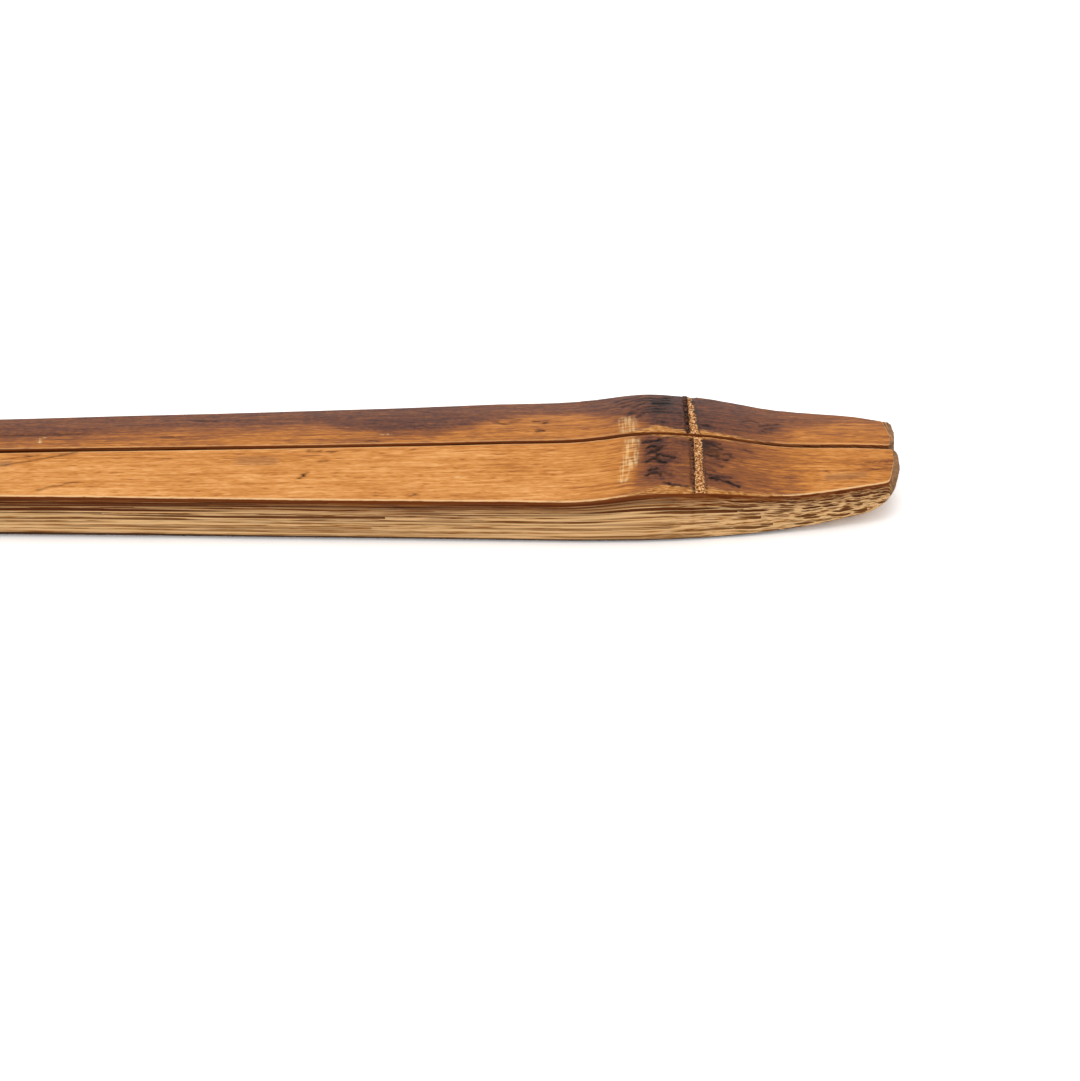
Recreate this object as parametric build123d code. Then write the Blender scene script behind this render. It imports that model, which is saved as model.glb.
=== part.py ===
from build123d import *
from math import exp, hypot, radians, sqrt, tan
import os

# A matched pair of bamboo chopsticks that lie side by side, as split from one strip of culm.
# X runs along the sticks with the grip end at +X, Y across the pair, and Z up from the flat
# undersides. All sizes are in millimetres. A name that ends in _AT is a distance measured back
# along the stick from its butt, which is the grip end.

# Length and lie of the pair
STICK_LENGTH = 240.0
FRONT_LEAD = 0.3            # the front stick lies this far ahead at the grip end
SPLIT_GAP = 0.36            # daylight between the inner sides along the shaft
NODE_GAP = 0.12             # daylight where the swollen nodes nearly touch

# The culm that the strip was split from
CULM_RADIUS = 28.0          # over the skin, at the shoulder behind the node

# Width of one stick, from its inner to its outer side
BUTT_WIDTH = 5.0
BOW_WIDTH = 6.6
BOW_AT = 7.0                # the middle of the bow
TAIL_WIDTH = 7.6
TAIL_AT = 14.0
NODE_WIDTH = 8.85           # at the crest of the ridge
SHOULDER_WIDTH = 8.5
GRIP_WIDTH = 7.6
GRIP_AT = 70.0
WAIST_WIDTH = 6.65
WAIST_AT = 101.0
REACH_WIDTH = 5.3           # midway between waist and tip
TIP_WIDTH = 4.0

# Height of the skin over the underside, measured in the split plane
BUTT_HEIGHT = 5.8
BOW_HEIGHT = 6.14
TAIL_HEIGHT = 6.47
GRIP_HEIGHT = 6.78
WAIST_HEIGHT = 6.65
TIP_HEIGHT = 4.1
SHOULDER_HEIGHT = 7.13

# The node: a shoulder, a swollen ridge, then the scar of the culm sheath behind its crevice
SCAR_AT = 22.15             # crest of the scar ring
SCAR_WIDTH = 0.95
SCAR_HEIGHT = 8.08
CREVICE_WIDTH = 0.55
CREVICE_DEPTH = 0.42        # below the crest of the scar
RIDGE_BEHIND_SCAR = 5.8
RIDGE_HEIGHT = 8.25
RIDGE_FOOT = 5.0            # from the crest of the ridge back to its foot
RIDGE_FOOT_RISE = 0.36      # of the foot above the shoulder
SHOULDER_BEHIND_FOOT = 10.0
NECK_BEFORE_SCAR = 4.6      # middle of the fall from the scar to the tail
NECK_HEIGHT = 7.15

# Underside of the grip end, which rises like the bow of a boat
KEEL_AT = 19.0              # where the flat underside ends
KEEL_RISE = 1.25            # lift of the underside where it starts to round up to the butt
BUTT_ROUND = 3.5            # radius under the butt, seen from the side
BOW_SKEW = 0.2              # the bow falls back by this share of the distance across the stick
BUTT_DOME = 0.25            # bulge of the butt face, seen from above
BUTT_FLARE = 5.0            # degrees by which the butt's outline flares clear of the sides
BUTT_INNER_CORNER = 1.3
BUTT_OUTER_CORNER = 2.0

# Broken long edges
OUTER_ARRIS = 0.2           # leg of the 45 degree facet between skin and outer side
OUTER_ARRIS_AT_NODE = 0.3   # the same facet where it crosses the ridge
INNER_ARRIS = 0.18
LOWER_OUTER_EDGE = 0.55
LOWER_INNER_EDGE = 0.3
SKIN_END_EDGE = 0.35        # rounding of the skin's end at the butt

# The eating end, turned round out of the square shaft
ROUNDED_LENGTH = 118.0      # the turning fades out this far from the tip
TIP_FLARE = 1.6             # how much faster the turned taper opens beyond that
TIP_DIAMETER = 4.1
TIP_DOME = 1.6              # length of the domed point
TIP_FLAT = 0.14             # depth of the flat left under the point, on which it rests

# Setting out
OVERRUN = 4.0               # how far the shaping cuts run past the ends of the blank
SHAFT_STATIONS = 24         # places along each run of the skin at which the facets are set out
RISE_STATIONS = 6
FALL_STATIONS = 3
TAIL_STATIONS = 6
CROSSING_STEP = 1e-7        # fineness, as a share of a curve, of a place found along it


def at(from_butt):
    """X of a place on a stick that is centred on the origin."""
    return STICK_LENGTH / 2 - from_butt


# Places and heights that follow from the sizes above
AXIS_HEIGHT = SHOULDER_HEIGHT - CULM_RADIUS
RIDGE_AT = SCAR_AT + RIDGE_BEHIND_SCAR
FOOT_AT = RIDGE_AT + RIDGE_FOOT
SHOULDER_AT = FOOT_AT + SHOULDER_BEHIND_FOOT
NECK_AT = SCAR_AT - NECK_BEFORE_SCAR
REACH_AT = (WAIST_AT + STICK_LENGTH) / 2
REACH_HEIGHT = (WAIST_HEIGHT + TIP_HEIGHT) / 2
BLANK_HEIGHT = 2 * RIDGE_HEIGHT


def face_from(*curves):
    """A face bounded by the given curves, which meet end to end."""
    return make_face([edge for curve in curves for edge in curve.edges()])


def skin_curves():
    """The skin in the split plane, from tip to butt, in five smooth runs and the scar's bead."""
    foot_of_scar = SCAR_HEIGHT - CREVICE_DEPTH / 2
    back_foot = (at(SCAR_AT + SCAR_WIDTH / 2), 0, foot_of_scar)
    front_foot = (at(SCAR_AT - SCAR_WIDTH / 2), 0, foot_of_scar)
    lip_at = SCAR_AT + SCAR_WIDTH / 2 + CREVICE_WIDTH
    lip = (at(lip_at), 0, SCAR_HEIGHT - CREVICE_DEPTH / 4)
    bed = (at(lip_at - CREVICE_WIDTH / 2), 0, SCAR_HEIGHT - CREVICE_DEPTH)
    shaft = Spline(
        (at(STICK_LENGTH + OVERRUN), 0, TIP_HEIGHT),
        (at(REACH_AT), 0, REACH_HEIGHT),
        (at(WAIST_AT), 0, WAIST_HEIGHT),
        (at(GRIP_AT), 0, GRIP_HEIGHT),
        (at(SHOULDER_AT), 0, SHOULDER_HEIGHT),
    )
    foot = (at(FOOT_AT), 0, SHOULDER_HEIGHT + RIDGE_FOOT_RISE)
    crest = (at(RIDGE_AT), 0, RIDGE_HEIGHT)
    rise = Spline(shaft @ 1, foot, crest, tangents=(shaft % 1, (1, 0, 0)))
    # A parabola ends twice as steep as its chord
    end_slope = 2 * (RIDGE_HEIGHT - SCAR_HEIGHT) / RIDGE_BEHIND_SCAR
    fall = Spline(crest, lip, tangents=((1, 0, 0), (1, 0, -end_slope)))
    crevice = ThreePointArc(lip, bed, back_foot)
    scar = ThreePointArc(back_foot, (at(SCAR_AT), 0, SCAR_HEIGHT), front_foot)
    tail = Spline(
        front_foot,
        (at(NECK_AT), 0, NECK_HEIGHT),
        (at(TAIL_AT), 0, TAIL_HEIGHT),
        (at(BOW_AT), 0, BOW_HEIGHT),
        (at(SKIN_END_EDGE), 0, BUTT_HEIGHT),
    )
    return shaft, rise, fall, crevice, scar, tail


def culm():
    """The round outside of the culm with its node, as a solid of revolution."""
    skin = skin_curves()
    butt = skin[-1]
    end = TangentArc(butt @ 1, (at(0), 0, BUTT_HEIGHT - SKIN_END_EDGE), tangent=butt % 1)
    far = at(STICK_LENGTH + OVERRUN)
    core = Polyline(end @ 1, (at(0), 0, AXIS_HEIGHT), (far, 0, AXIS_HEIGHT), skin[0] @ 0)
    return revolve(face_from(*skin, end, core), Axis((0, 0, AXIS_HEIGHT), (1, 0, 0)))


def outer_side():
    """The outer side seen from above, from beyond the tip to the butt."""
    return Spline(
        (at(STICK_LENGTH + OVERRUN), SPLIT_GAP / 2 + TIP_WIDTH),
        (at(REACH_AT), SPLIT_GAP / 2 + REACH_WIDTH),
        (at(WAIST_AT), SPLIT_GAP / 2 + WAIST_WIDTH),
        (at(GRIP_AT), SPLIT_GAP / 2 + GRIP_WIDTH),
        (at(SHOULDER_AT), SPLIT_GAP / 2 + SHOULDER_WIDTH),
        (at(RIDGE_AT), NODE_GAP / 2 + NODE_WIDTH),
        (at(TAIL_AT), SPLIT_GAP / 2 + TAIL_WIDTH),
        (at(BOW_AT), SPLIT_GAP / 2 + BOW_WIDTH),
        (at(0), SPLIT_GAP / 2 + BUTT_WIDTH),
    )


def inner_side():
    """The inner side seen from above, from beyond the tip to beyond the butt."""
    return Spline(
        (at(STICK_LENGTH + OVERRUN), SPLIT_GAP / 2),
        (at(REACH_AT), SPLIT_GAP / 2),
        (at(WAIST_AT), SPLIT_GAP / 2),
        (at(SCAR_AT), NODE_GAP / 2),
        (at(-OVERRUN), SPLIT_GAP / 2),
    )


def plan_outline():
    """The two sides seen from above, which run past both ends."""
    outer = outer_side()
    inner = inner_side()
    outer_end = Line(outer @ 1, outer @ 1 + OVERRUN * (outer % 1))
    return face_from(outer, outer_end, Line(outer_end @ 1, inner @ 1), inner, Line(inner @ 0, outer @ 0))


def side_outline():
    """The underside and butt seen from the side, up to a line well above the skin."""
    keel = (at(KEEL_AT), 0, 0)
    chine = (at(BUTT_ROUND), 0, KEEL_RISE)
    stem = (at(0), 0, KEEL_RISE + BUTT_ROUND)
    # The bow is a parabola too, so it ends twice as steep as its chord
    end_slope = 2 * KEEL_RISE / KEEL_AT
    flat = Line((at(STICK_LENGTH + OVERRUN), 0, 0), keel)
    bow = Spline(keel, chine, tangents=((1, 0, 0), (1, 0, end_slope)))
    turn = TangentArc(chine, stem, tangent=bow % 1)
    rise = (BLANK_HEIGHT - KEEL_RISE - BUTT_ROUND) / (turn % 1).Z
    butt = Line(turn @ 1, turn @ 1 + rise * (turn % 1))
    top = Polyline(butt @ 1, (at(STICK_LENGTH + OVERRUN), 0, BLANK_HEIGHT), flat @ 0)
    return face_from(flat, bow, turn, butt, top)


def eased_blank():
    """The blank between plan and side outlines, with its lower edges rounded up to the butt."""
    reach = 2 * NODE_WIDTH * hypot(BOW_SKEW, 1)
    centred = Pos(BOW_SKEW * (SPLIT_GAP + BUTT_WIDTH) / 2, 0, 0) * side_outline()
    bow = extrude(centred, reach, dir=(-BOW_SKEW, 1, 0), both=True)
    blank = extrude(plan_outline(), BLANK_HEIGHT) & bow
    lower = blank.edges().filter_by(lambda edge: edge.length > STICK_LENGTH / 2).group_by(Axis.Z)[0]
    inner_edge, outer_edge = lower.sort_by(Axis.Y)
    blank = fillet(outer_edge, LOWER_OUTER_EDGE)
    return fillet(blank.edges().sort_by_distance(inner_edge.center())[0], LOWER_INNER_EDGE)


def butt_end():
    """The rounded butt seen from above, as a prism that flares clear of the sides."""
    reach = STICK_LENGTH + OVERRUN
    flare = tan(radians(BUTT_FLARE))
    taper = (BOW_WIDTH - BUTT_WIDTH) / BOW_AT
    inner_corner = Vector(at(BUTT_DOME), SPLIT_GAP / 2)
    outer_corner = Vector(at(BUTT_DOME), SPLIT_GAP / 2 + BUTT_WIDTH)
    inner_back = inner_corner - reach * Vector(1, flare)
    outer_back = outer_corner + reach * Vector(-1, taper + flare)
    middle = (inner_corner + outer_corner) / 2 + Vector(BUTT_DOME, 0)
    butt = ThreePointArc(outer_corner, middle, inner_corner)
    outline = face_from(butt, Polyline(inner_corner, inner_back, outer_back, outer_corner))
    inner_vertex, outer_vertex = outline.vertices().sort_by(Axis.X)[-2:].sort_by(Axis.Y)
    outline = fillet(inner_vertex, BUTT_INNER_CORNER)
    outline = fillet(outline.vertices().sort_by_distance(outer_vertex)[0], BUTT_OUTER_CORNER)
    return extrude(outline, BLANK_HEIGHT)


def crossing(curve, place):
    """Y where a curve that runs along the stick passes the given X."""
    low, high = 0.0, 1.0
    while high - low > CROSSING_STEP:
        middle = (low + high) / 2
        if (curve @ middle).X < place:
            low = middle
        else:
            high = middle
    return (curve @ high).Y


def arris(side, facing, leg, leg_at_node):
    """All that a facet between skin and side leaves of the blank; facing is the side's Y sense."""
    shaft, rise, fall, _, _, tail = skin_curves()
    points = []
    runs = {shaft: SHAFT_STATIONS, rise: RISE_STATIONS, fall: FALL_STATIONS, tail: TAIL_STATIONS}
    stations = [run @ (step / steps) for run, steps in runs.items() for step in range(steps)]
    for point in stations + [tail @ 1]:
        offset = crossing(side, point.X)
        height = AXIS_HEIGHT + sqrt((point.Z - AXIS_HEIGHT) ** 2 - offset**2)
        swell = exp(-(((point.X - at(RIDGE_AT)) / RIDGE_FOOT) ** 2))
        cut = leg + (leg_at_node - leg) * swell
        points.append((point.X, (height + facing * offset - cut) / sqrt(2)))
    points.append((at(-OVERRUN), points[-1][1]))
    edge = Spline(*points)
    reach = 2 * BLANK_HEIGHT
    below = Polyline(edge @ 1, (at(-OVERRUN), -reach), (at(STICK_LENGTH + OVERRUN), -reach), edge @ 0)
    plane = Plane(origin=(0, 0, 0), x_dir=(1, 0, 0), z_dir=(0, -1, facing))
    return extrude(plane * face_from(edge, below), reach, both=True)


def turned_tip():
    """The slim cone that the square shaft is turned into towards its domed tip."""
    tip_centre = Vector(at(STICK_LENGTH), (SPLIT_GAP + TIP_WIDTH) / 2, TIP_DIAMETER / 2 - TIP_FLAT)
    fade_centre = Vector(at(STICK_LENGTH - ROUNDED_LENGTH), (SPLIT_GAP + WAIST_WIDTH) / 2, WAIST_HEIGHT / 2)
    tip_radius = TIP_DIAMETER / 2
    fade_radius = hypot(WAIST_WIDTH, WAIST_HEIGHT) / 2
    growth = (fade_radius - tip_radius) / (ROUNDED_LENGTH - TIP_DOME)
    butt_radius = fade_radius + TIP_FLARE * growth * (STICK_LENGTH + OVERRUN - ROUNDED_LENGTH)
    rim = (tip_radius, 0, TIP_DOME)
    dome = Spline((0, 0, 0), rim, tangents=((1, 0, 0), (growth, 0, 1)))
    taper = Spline(rim, (fade_radius, 0, ROUNDED_LENGTH), (butt_radius, 0, STICK_LENGTH + OVERRUN))
    core = Polyline(taper @ 1, (0, 0, STICK_LENGTH + OVERRUN), (0, 0, 0))
    cone = revolve(face_from(dome, taper, core), Axis.Z)
    return Plane(origin=tip_centre, z_dir=fade_centre - tip_centre) * cone


def chopstick():
    """One stick, on the far side of the split plane and centred along X."""
    outer_arris = arris(outer_side(), 1, OUTER_ARRIS, OUTER_ARRIS_AT_NODE)
    inner_arris = arris(inner_side(), -1, INNER_ARRIS, INNER_ARRIS)
    return eased_blank() & butt_end() & culm() & outer_arris & inner_arris & turned_tip()


def main():
    """Write both sticks, centred as a pair."""
    stick = chopstick()
    rear = Pos(-FRONT_LEAD / 2, 0, 0) * stick
    front = Pos(FRONT_LEAD / 2, 0, 0) * mirror(stick, Plane.XZ)
    os.makedirs("parts", exist_ok=True)
    export_step(rear, "parts/rear_chopstick.step")
    export_step(front, "parts/front_chopstick.step")


main()
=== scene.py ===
"""A pair of heat-darkened bamboo chopsticks, dressed and lit as in a product photograph.

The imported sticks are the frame, and nothing here changes their size. Each one is stood for by a
closely ruled skin that lies on it and adds what is too fine for the solids: the ragged crevice, the
grainy scar ring and the wrinkles of the node, the brushed fibre bundles of the cut sides, the eased
lower edge, and the burns and scratches of the culm's own skin.

Sizes are in millimetres in the row frame: X runs to the grip end, Y across the pair from the front
stick to the rear one, and Z up. Marks on a stick are placed by X and by their distance from the
split plane, so both sticks can share them.
"""

import logging
import math
from abc import ABC, abstractmethod
from collections.abc import Sequence
from dataclasses import dataclass
from enum import Enum

import bmesh
import bpy
import numpy as np
from mathutils import Matrix, Vector, noise
from mathutils.bvhtree import BVHTree


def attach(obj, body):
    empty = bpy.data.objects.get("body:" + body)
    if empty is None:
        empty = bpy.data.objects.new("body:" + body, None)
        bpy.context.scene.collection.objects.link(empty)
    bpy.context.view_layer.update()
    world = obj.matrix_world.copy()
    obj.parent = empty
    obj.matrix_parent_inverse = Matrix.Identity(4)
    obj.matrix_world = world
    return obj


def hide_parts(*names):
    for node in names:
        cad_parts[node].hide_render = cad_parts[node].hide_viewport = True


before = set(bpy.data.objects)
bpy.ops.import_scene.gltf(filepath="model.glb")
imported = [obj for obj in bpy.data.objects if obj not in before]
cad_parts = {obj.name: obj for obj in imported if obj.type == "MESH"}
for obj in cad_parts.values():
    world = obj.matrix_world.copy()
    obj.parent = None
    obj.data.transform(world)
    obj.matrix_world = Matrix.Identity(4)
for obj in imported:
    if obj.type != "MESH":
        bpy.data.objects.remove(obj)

LOG = logging.getLogger("chopsticks")
MM = 0.001

Socket = bpy.types.NodeSocket
Value = float | Socket
Screen = tuple[int, int, int]
Place = tuple[float, float]


def linear(screen: Screen) -> tuple[float, float, float, float]:
    """A screen colour as the linear colour that a socket takes.

    Args:
        screen: Red, green and blue from 0 to 255.

    Returns:
        The linear colour with full alpha.
    """
    shares = [channel / 255 for channel in screen]
    light = [s / 12.92 if s <= 0.04045 else ((s + 0.055) / 1.055) ** 2.4 for s in shares]
    return (light[0], light[1], light[2], 1.0)


def rise(low: float, high: float, value: np.ndarray) -> np.ndarray:
    """An S-shaped rise from 0 at low to 1 at high, which may be the smaller one.

    Args:
        low: Where the rise starts.
        high: Where it ends.
        value: The places to look up.

    Returns:
        The heights of the rise.
    """
    share = np.clip((value - low) / (high - low), 0.0, 1.0)
    return share * share * (3 - 2 * share)


def table(rows: Sequence[Place], value: np.ndarray) -> np.ndarray:
    """Values read from a short table, straight between its rows.

    Args:
        rows: Pairs of place and value, in rising order of place.
        value: The places to look up.

    Returns:
        The values there.
    """
    places, heights = zip(*rows)
    return np.interp(value, places, heights)


@dataclass(frozen=True)
class Ripple:
    """Smooth seeded noise, by its size along X, Y and Z in millimetres."""

    grain: tuple[float, float, float]
    seed: float
    height: float = 1.0

    def over(self, places: np.ndarray, seed: float = 0.0) -> np.ndarray:
        """The noise at some places.

        Args:
            places: Places in millimetres, with the three coordinates last.
            seed: Shifts the pattern further, so that two sticks differ.

        Returns:
            The noise, from about minus its height to its height.
        """
        flat = (places.reshape(-1, 3) / np.array(self.grain) + (seed + self.seed)).tolist()
        values = np.array([noise.noise(place) for place in flat])
        return self.height * values.reshape(places.shape[:-1])


class Lie(Enum):
    """Which side of the split plane a stick lies on, as the sense of its Y."""

    FRONT = -1
    REAR = 1


class Mark(Enum):
    """What a stroke on the skin is."""

    SCORCH = "burnt black and slightly sunken"
    SCUFF = "scraped pale"
    SMUDGE = "stained grey"


@dataclass(frozen=True)
class Stroke:
    """A drawn mark on the skin, along a path of (X, distance from the split plane).

    Across the path it is full as far as its core and gone at its fringe, both as shares of its
    width.
    """

    path: tuple[Place, ...]
    width: float
    strength: float = 1.0
    mark: Mark = Mark.SCORCH
    core: float = 0.25
    fringe: float = 0.75

    def cover(self, x: np.ndarray, across: np.ndarray, widening: float = 1.0) -> np.ndarray:
        """How strongly the stroke covers each place.

        Args:
            x: X of the places.
            across: Their distances from the split plane.
            widening: How many times as wide as itself the stroke is drawn.

        Returns:
            0 to strength at each place.
        """
        nearest = np.full(x.shape, np.inf)
        for (x0, a0), (x1, a1) in zip(self.path, self.path[1:]):
            run, over = x1 - x0, a1 - a0
            share = np.clip(((x - x0) * run + (across - a0) * over) / (run**2 + over**2), 0, 1)
            nearest = np.minimum(nearest, np.hypot(x - x0 - share * run, across - a0 - share * over))
        width = self.width * widening
        return self.strength * rise(self.fringe * width, self.core * width, nearest)


@dataclass(frozen=True)
class Burn:
    """How burnt the skin is at one station: a near part, and a far part beyond an edge line."""

    x: float
    near: float
    edge: float
    far: float


class Hull:
    """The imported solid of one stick, in millimetres, for finding places on its surface."""

    weld_distance = 1e-7

    def __init__(self, node: bpy.types.Object) -> None:
        """Takes a merged copy of the node's mesh.

        Args:
            node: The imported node.
        """
        shell = bmesh.new()
        shell.from_mesh(node.data)
        bmesh.ops.remove_doubles(shell, verts=shell.verts, dist=self.weld_distance)
        bmesh.ops.scale(shell, vec=Vector((1 / MM,) * 3), verts=shell.verts)
        self.tree = BVHTree.FromBMesh(shell)
        shell.free()

    def hit(self, origin: Vector, direction: Vector) -> tuple[Vector, Vector]:
        """Where a ray from inside leaves the solid.

        Args:
            origin: A place inside.
            direction: The way out.

        Returns:
            The place on the surface and its normal.
        """
        place, normal, _, _ = self.tree.ray_cast(origin, direction.normalized())
        if place is None:
            place, normal, _, _ = self.tree.find_nearest(origin)
        return place, normal

    def section(self, x: float, start: Vector) -> tuple[Vector, float, float]:
        """The middle and half sizes of the cross-section at x.

        Args:
            x: The station.
            start: A place near the middle, from a neighbouring station.

        Returns:
            The middle, the half width and the half height.
        """
        middle = Vector((x, start.y, start.z))
        half_width = half_height = 0.0
        for _ in range(2):
            top = self.hit(middle, Vector((0, 0, 1)))[0].z
            bottom = self.hit(middle, Vector((0, 0, -1)))[0].z
            middle.z, half_height = (top + bottom) / 2, (top - bottom) / 2
            far = self.hit(middle, Vector((0, 1, 0)))[0].y
            near = self.hit(middle, Vector((0, -1, 0)))[0].y
            middle.y, half_width = (far + near) / 2, (far - near) / 2
        return middle, half_width, half_height


@dataclass(frozen=True)
class Culm:
    """The round culm that the sticks were split from, as far as their skin shows it.

    The skin is measured beside the split plane up to where it ends, and its height at the tip is
    given. The fibres follow it without the crevice and the scar, so a running mean evens it, and
    they are taken back to a straight culm of the level radius. The facets are how far the skin's
    edges are worn, and the wear is where the worn edges fill the crevice up. The mark lengths say
    how long the marks of the fibre bundles are at each station: the steeper the cut runs across
    the fibres, the shorter they are.
    """

    axis_height: float = -20.87
    tip_skin: tuple[Place, ...] = ((-120.0, 4.1), (19.0, 6.65))
    end_of_skin: float = 119.3
    level_radius: float = 27.87
    smoothing: float = 1.1
    smoothing_reach: float = 3.0
    mark_lengths: tuple[Place, ...] = (
        (-120.0, 60.0),
        (80.0, 60.0),
        (90.0, 36.0),
        (97.0, 20.0),
        (102.0, 9.0),
        (106.0, 5.0),
        (110.0, 3.4),
        (120.0, 3.0),
    )
    outer_facet: float = 0.2
    inner_facet: float = 0.18
    split_margin: float = 0.12
    outer_wear: Place = (-1.6, -0.5)
    inner_wear: Place = (0.8, 0.3)
    filling_power: int = 4
    levelling_power: int = 2
    survey_end: float = 120.2
    survey_step: float = 0.05
    sample_from_split: float = 1.0
    sample_height: float = 3.0
    side_from_split: float = 2.4
    side_end: float = 119.6

    def stations(self) -> np.ndarray:
        """Evenly spaced X over the whole stick, to measure it at."""
        return np.arange(-self.survey_end, self.survey_end, self.survey_step)

    def skin_height(self, hull: Hull, lie: Lie, stations: np.ndarray) -> np.ndarray:
        """Height of the skin in the split plane, carried on where the skin has been turned away.

        Args:
            hull: The stick's solid.
            lie: Its side.
            stations: Rising X to measure at.

        Returns:
            The height at each station.
        """
        offset = self.sample_from_split
        heights = []
        for x in np.minimum(stations, self.end_of_skin):
            below = Vector((x, lie.value * offset, self.sample_height))
            top = hull.hit(below, Vector((0, 0, 1)))[0].z
            heights.append(math.hypot(offset, top - self.axis_height) + self.axis_height)
        tip = table(self.tip_skin, stations)
        return np.where(stations < self.tip_skin[-1][0], tip, heights)

    def smooth(self, stations: np.ndarray, heights: np.ndarray) -> np.ndarray:
        """The skin's height without the crevice and the scar, as a running mean.

        Args:
            stations: Evenly spaced X.
            heights: The height at each of them.

        Returns:
            The evened heights.
        """
        reach = round(self.smoothing_reach * self.smoothing / (stations[1] - stations[0]))
        offsets = np.arange(-reach, reach + 1) / reach * self.smoothing_reach
        weights = np.exp(-(offsets**2) / 2)
        padded = np.pad(heights, reach, mode="edge")
        return np.convolve(padded, weights / weights.sum(), mode="valid")

    def sides(self, hull: Hull, lie: Lie, stations: np.ndarray) -> tuple[np.ndarray, np.ndarray]:
        """Distances of the inner and outer side from the split plane.

        Args:
            hull: The stick's solid.
            lie: Its side.
            stations: X to measure at.

        Returns:
            The inner and the outer distance at each station.
        """
        inner, outer = [], []
        for x in stations:
            across = lie.value * self.side_from_split
            middle = Vector((min(x, self.side_end), across, self.sample_height))
            inner.append(abs(hull.hit(middle, Vector((0, -lie.value, 0)))[0].y))
            outer.append(abs(hull.hit(middle, Vector((0, lie.value, 0)))[0].y))
        return np.array(inner), np.array(outer)


@dataclass(frozen=True)
class Ruling:
    """How closely a stick's skin is ruled, along it and around its section.

    The stations along the stick run from one cap to the other with a spacing that is given at some
    places and blends between them. Around the section each face has its own share of the lines.
    """

    spacings: tuple[Place, ...] = (
        (-118.2, 0.5),
        (-110.0, 1.3),
        (8.0, 1.3),
        (20.0, 0.42),
        (72.0, 0.42),
        (80.0, 0.3),
        (89.0, 0.16),
        (101.0, 0.16),
        (108.0, 0.24),
        (116.6, 0.22),
    )
    tip_rings: int = 14
    butt_rings: int = 34
    skin_lines: int = 66
    outer_lines: int = 54
    under_lines: int = 20
    inner_lines: int = 28

    def stations(self) -> list[float]:
        """Rules the stick along its length.

        Returns:
            Every station between the caps, from tip to butt.
        """
        places, gaps = zip(*self.spacings)
        found = [places[0]]
        while found[-1] < places[-1]:
            found.append(found[-1] + float(np.interp(found[-1], places, gaps)))
        return found

    def outline(self, lie: Lie) -> list[Place]:
        """The lines around the section as places on a square of half size 1.

        Args:
            lie: The side that the stick lies on, which decides where its outer face is.

        Returns:
            (across, up) of each line, turning from the inner upper corner over the skin.
        """
        corners = ((-1, 1), (1, 1), (1, -1), (-1, -1), (-1, 1))
        counts = (self.skin_lines, self.outer_lines, self.under_lines, self.inner_lines)
        square = [
            (a[0] + (b[0] - a[0]) * step / count, a[1] + (b[1] - a[1]) * step / count)
            for a, b, count in zip(corners, corners[1:], counts)
            for step in range(count)
        ]
        return [(across * lie.value, up) for across, up in square]


@dataclass(frozen=True)
class CulmNode:
    """The culm's node where it crosses a stick, finer than the solid shows it.

    Creep and slant move it a little along the stick: creep takes the ridge towards the scar, and
    slant turns the scar in plan, as far as reach lets it.
    """

    slant: float
    crevice: Place
    scar_end: tuple[Place, ...]
    sanded_outside: tuple[Place, ...]
    sanded_inside: tuple[Place, ...]
    creep: tuple[Place, ...] = ((85.0, 0.0), (91.9, -0.85), (94.5, -0.5), (96.2, 0.0))
    reach: tuple[Place, ...] = ((94.0, 0.0), (96.4, 1.0), (99.0, 1.0), (104.0, 0.0))
    rag: float = 0.16
    rag_reach: Place = (1.6, 0.4)
    rags: tuple[Ripple, ...] = (Ripple((0.9, 0.8, 1.0), 3.1), Ripple((0.4, 0.3, 1.0), 8.7, 0.5))

    def shift(self, x: np.ndarray, y: np.ndarray) -> np.ndarray:
        """How far along X the node is found beyond its place on the solid, slanting and ragged.

        Args:
            x: X of the places.
            y: Y of the places.

        Returns:
            The shifts.
        """
        places = np.stack((x, y, np.zeros_like(x)), -1)
        ragged = sum(ripple.over(places) for ripple in self.rags)
        near_scar = rise(*self.rag_reach, np.abs(x - self.crevice[1]))
        moved = table(self.creep, x) + table(self.reach, x) * self.slant * y
        return moved + self.rag * near_scar * ragged


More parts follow.
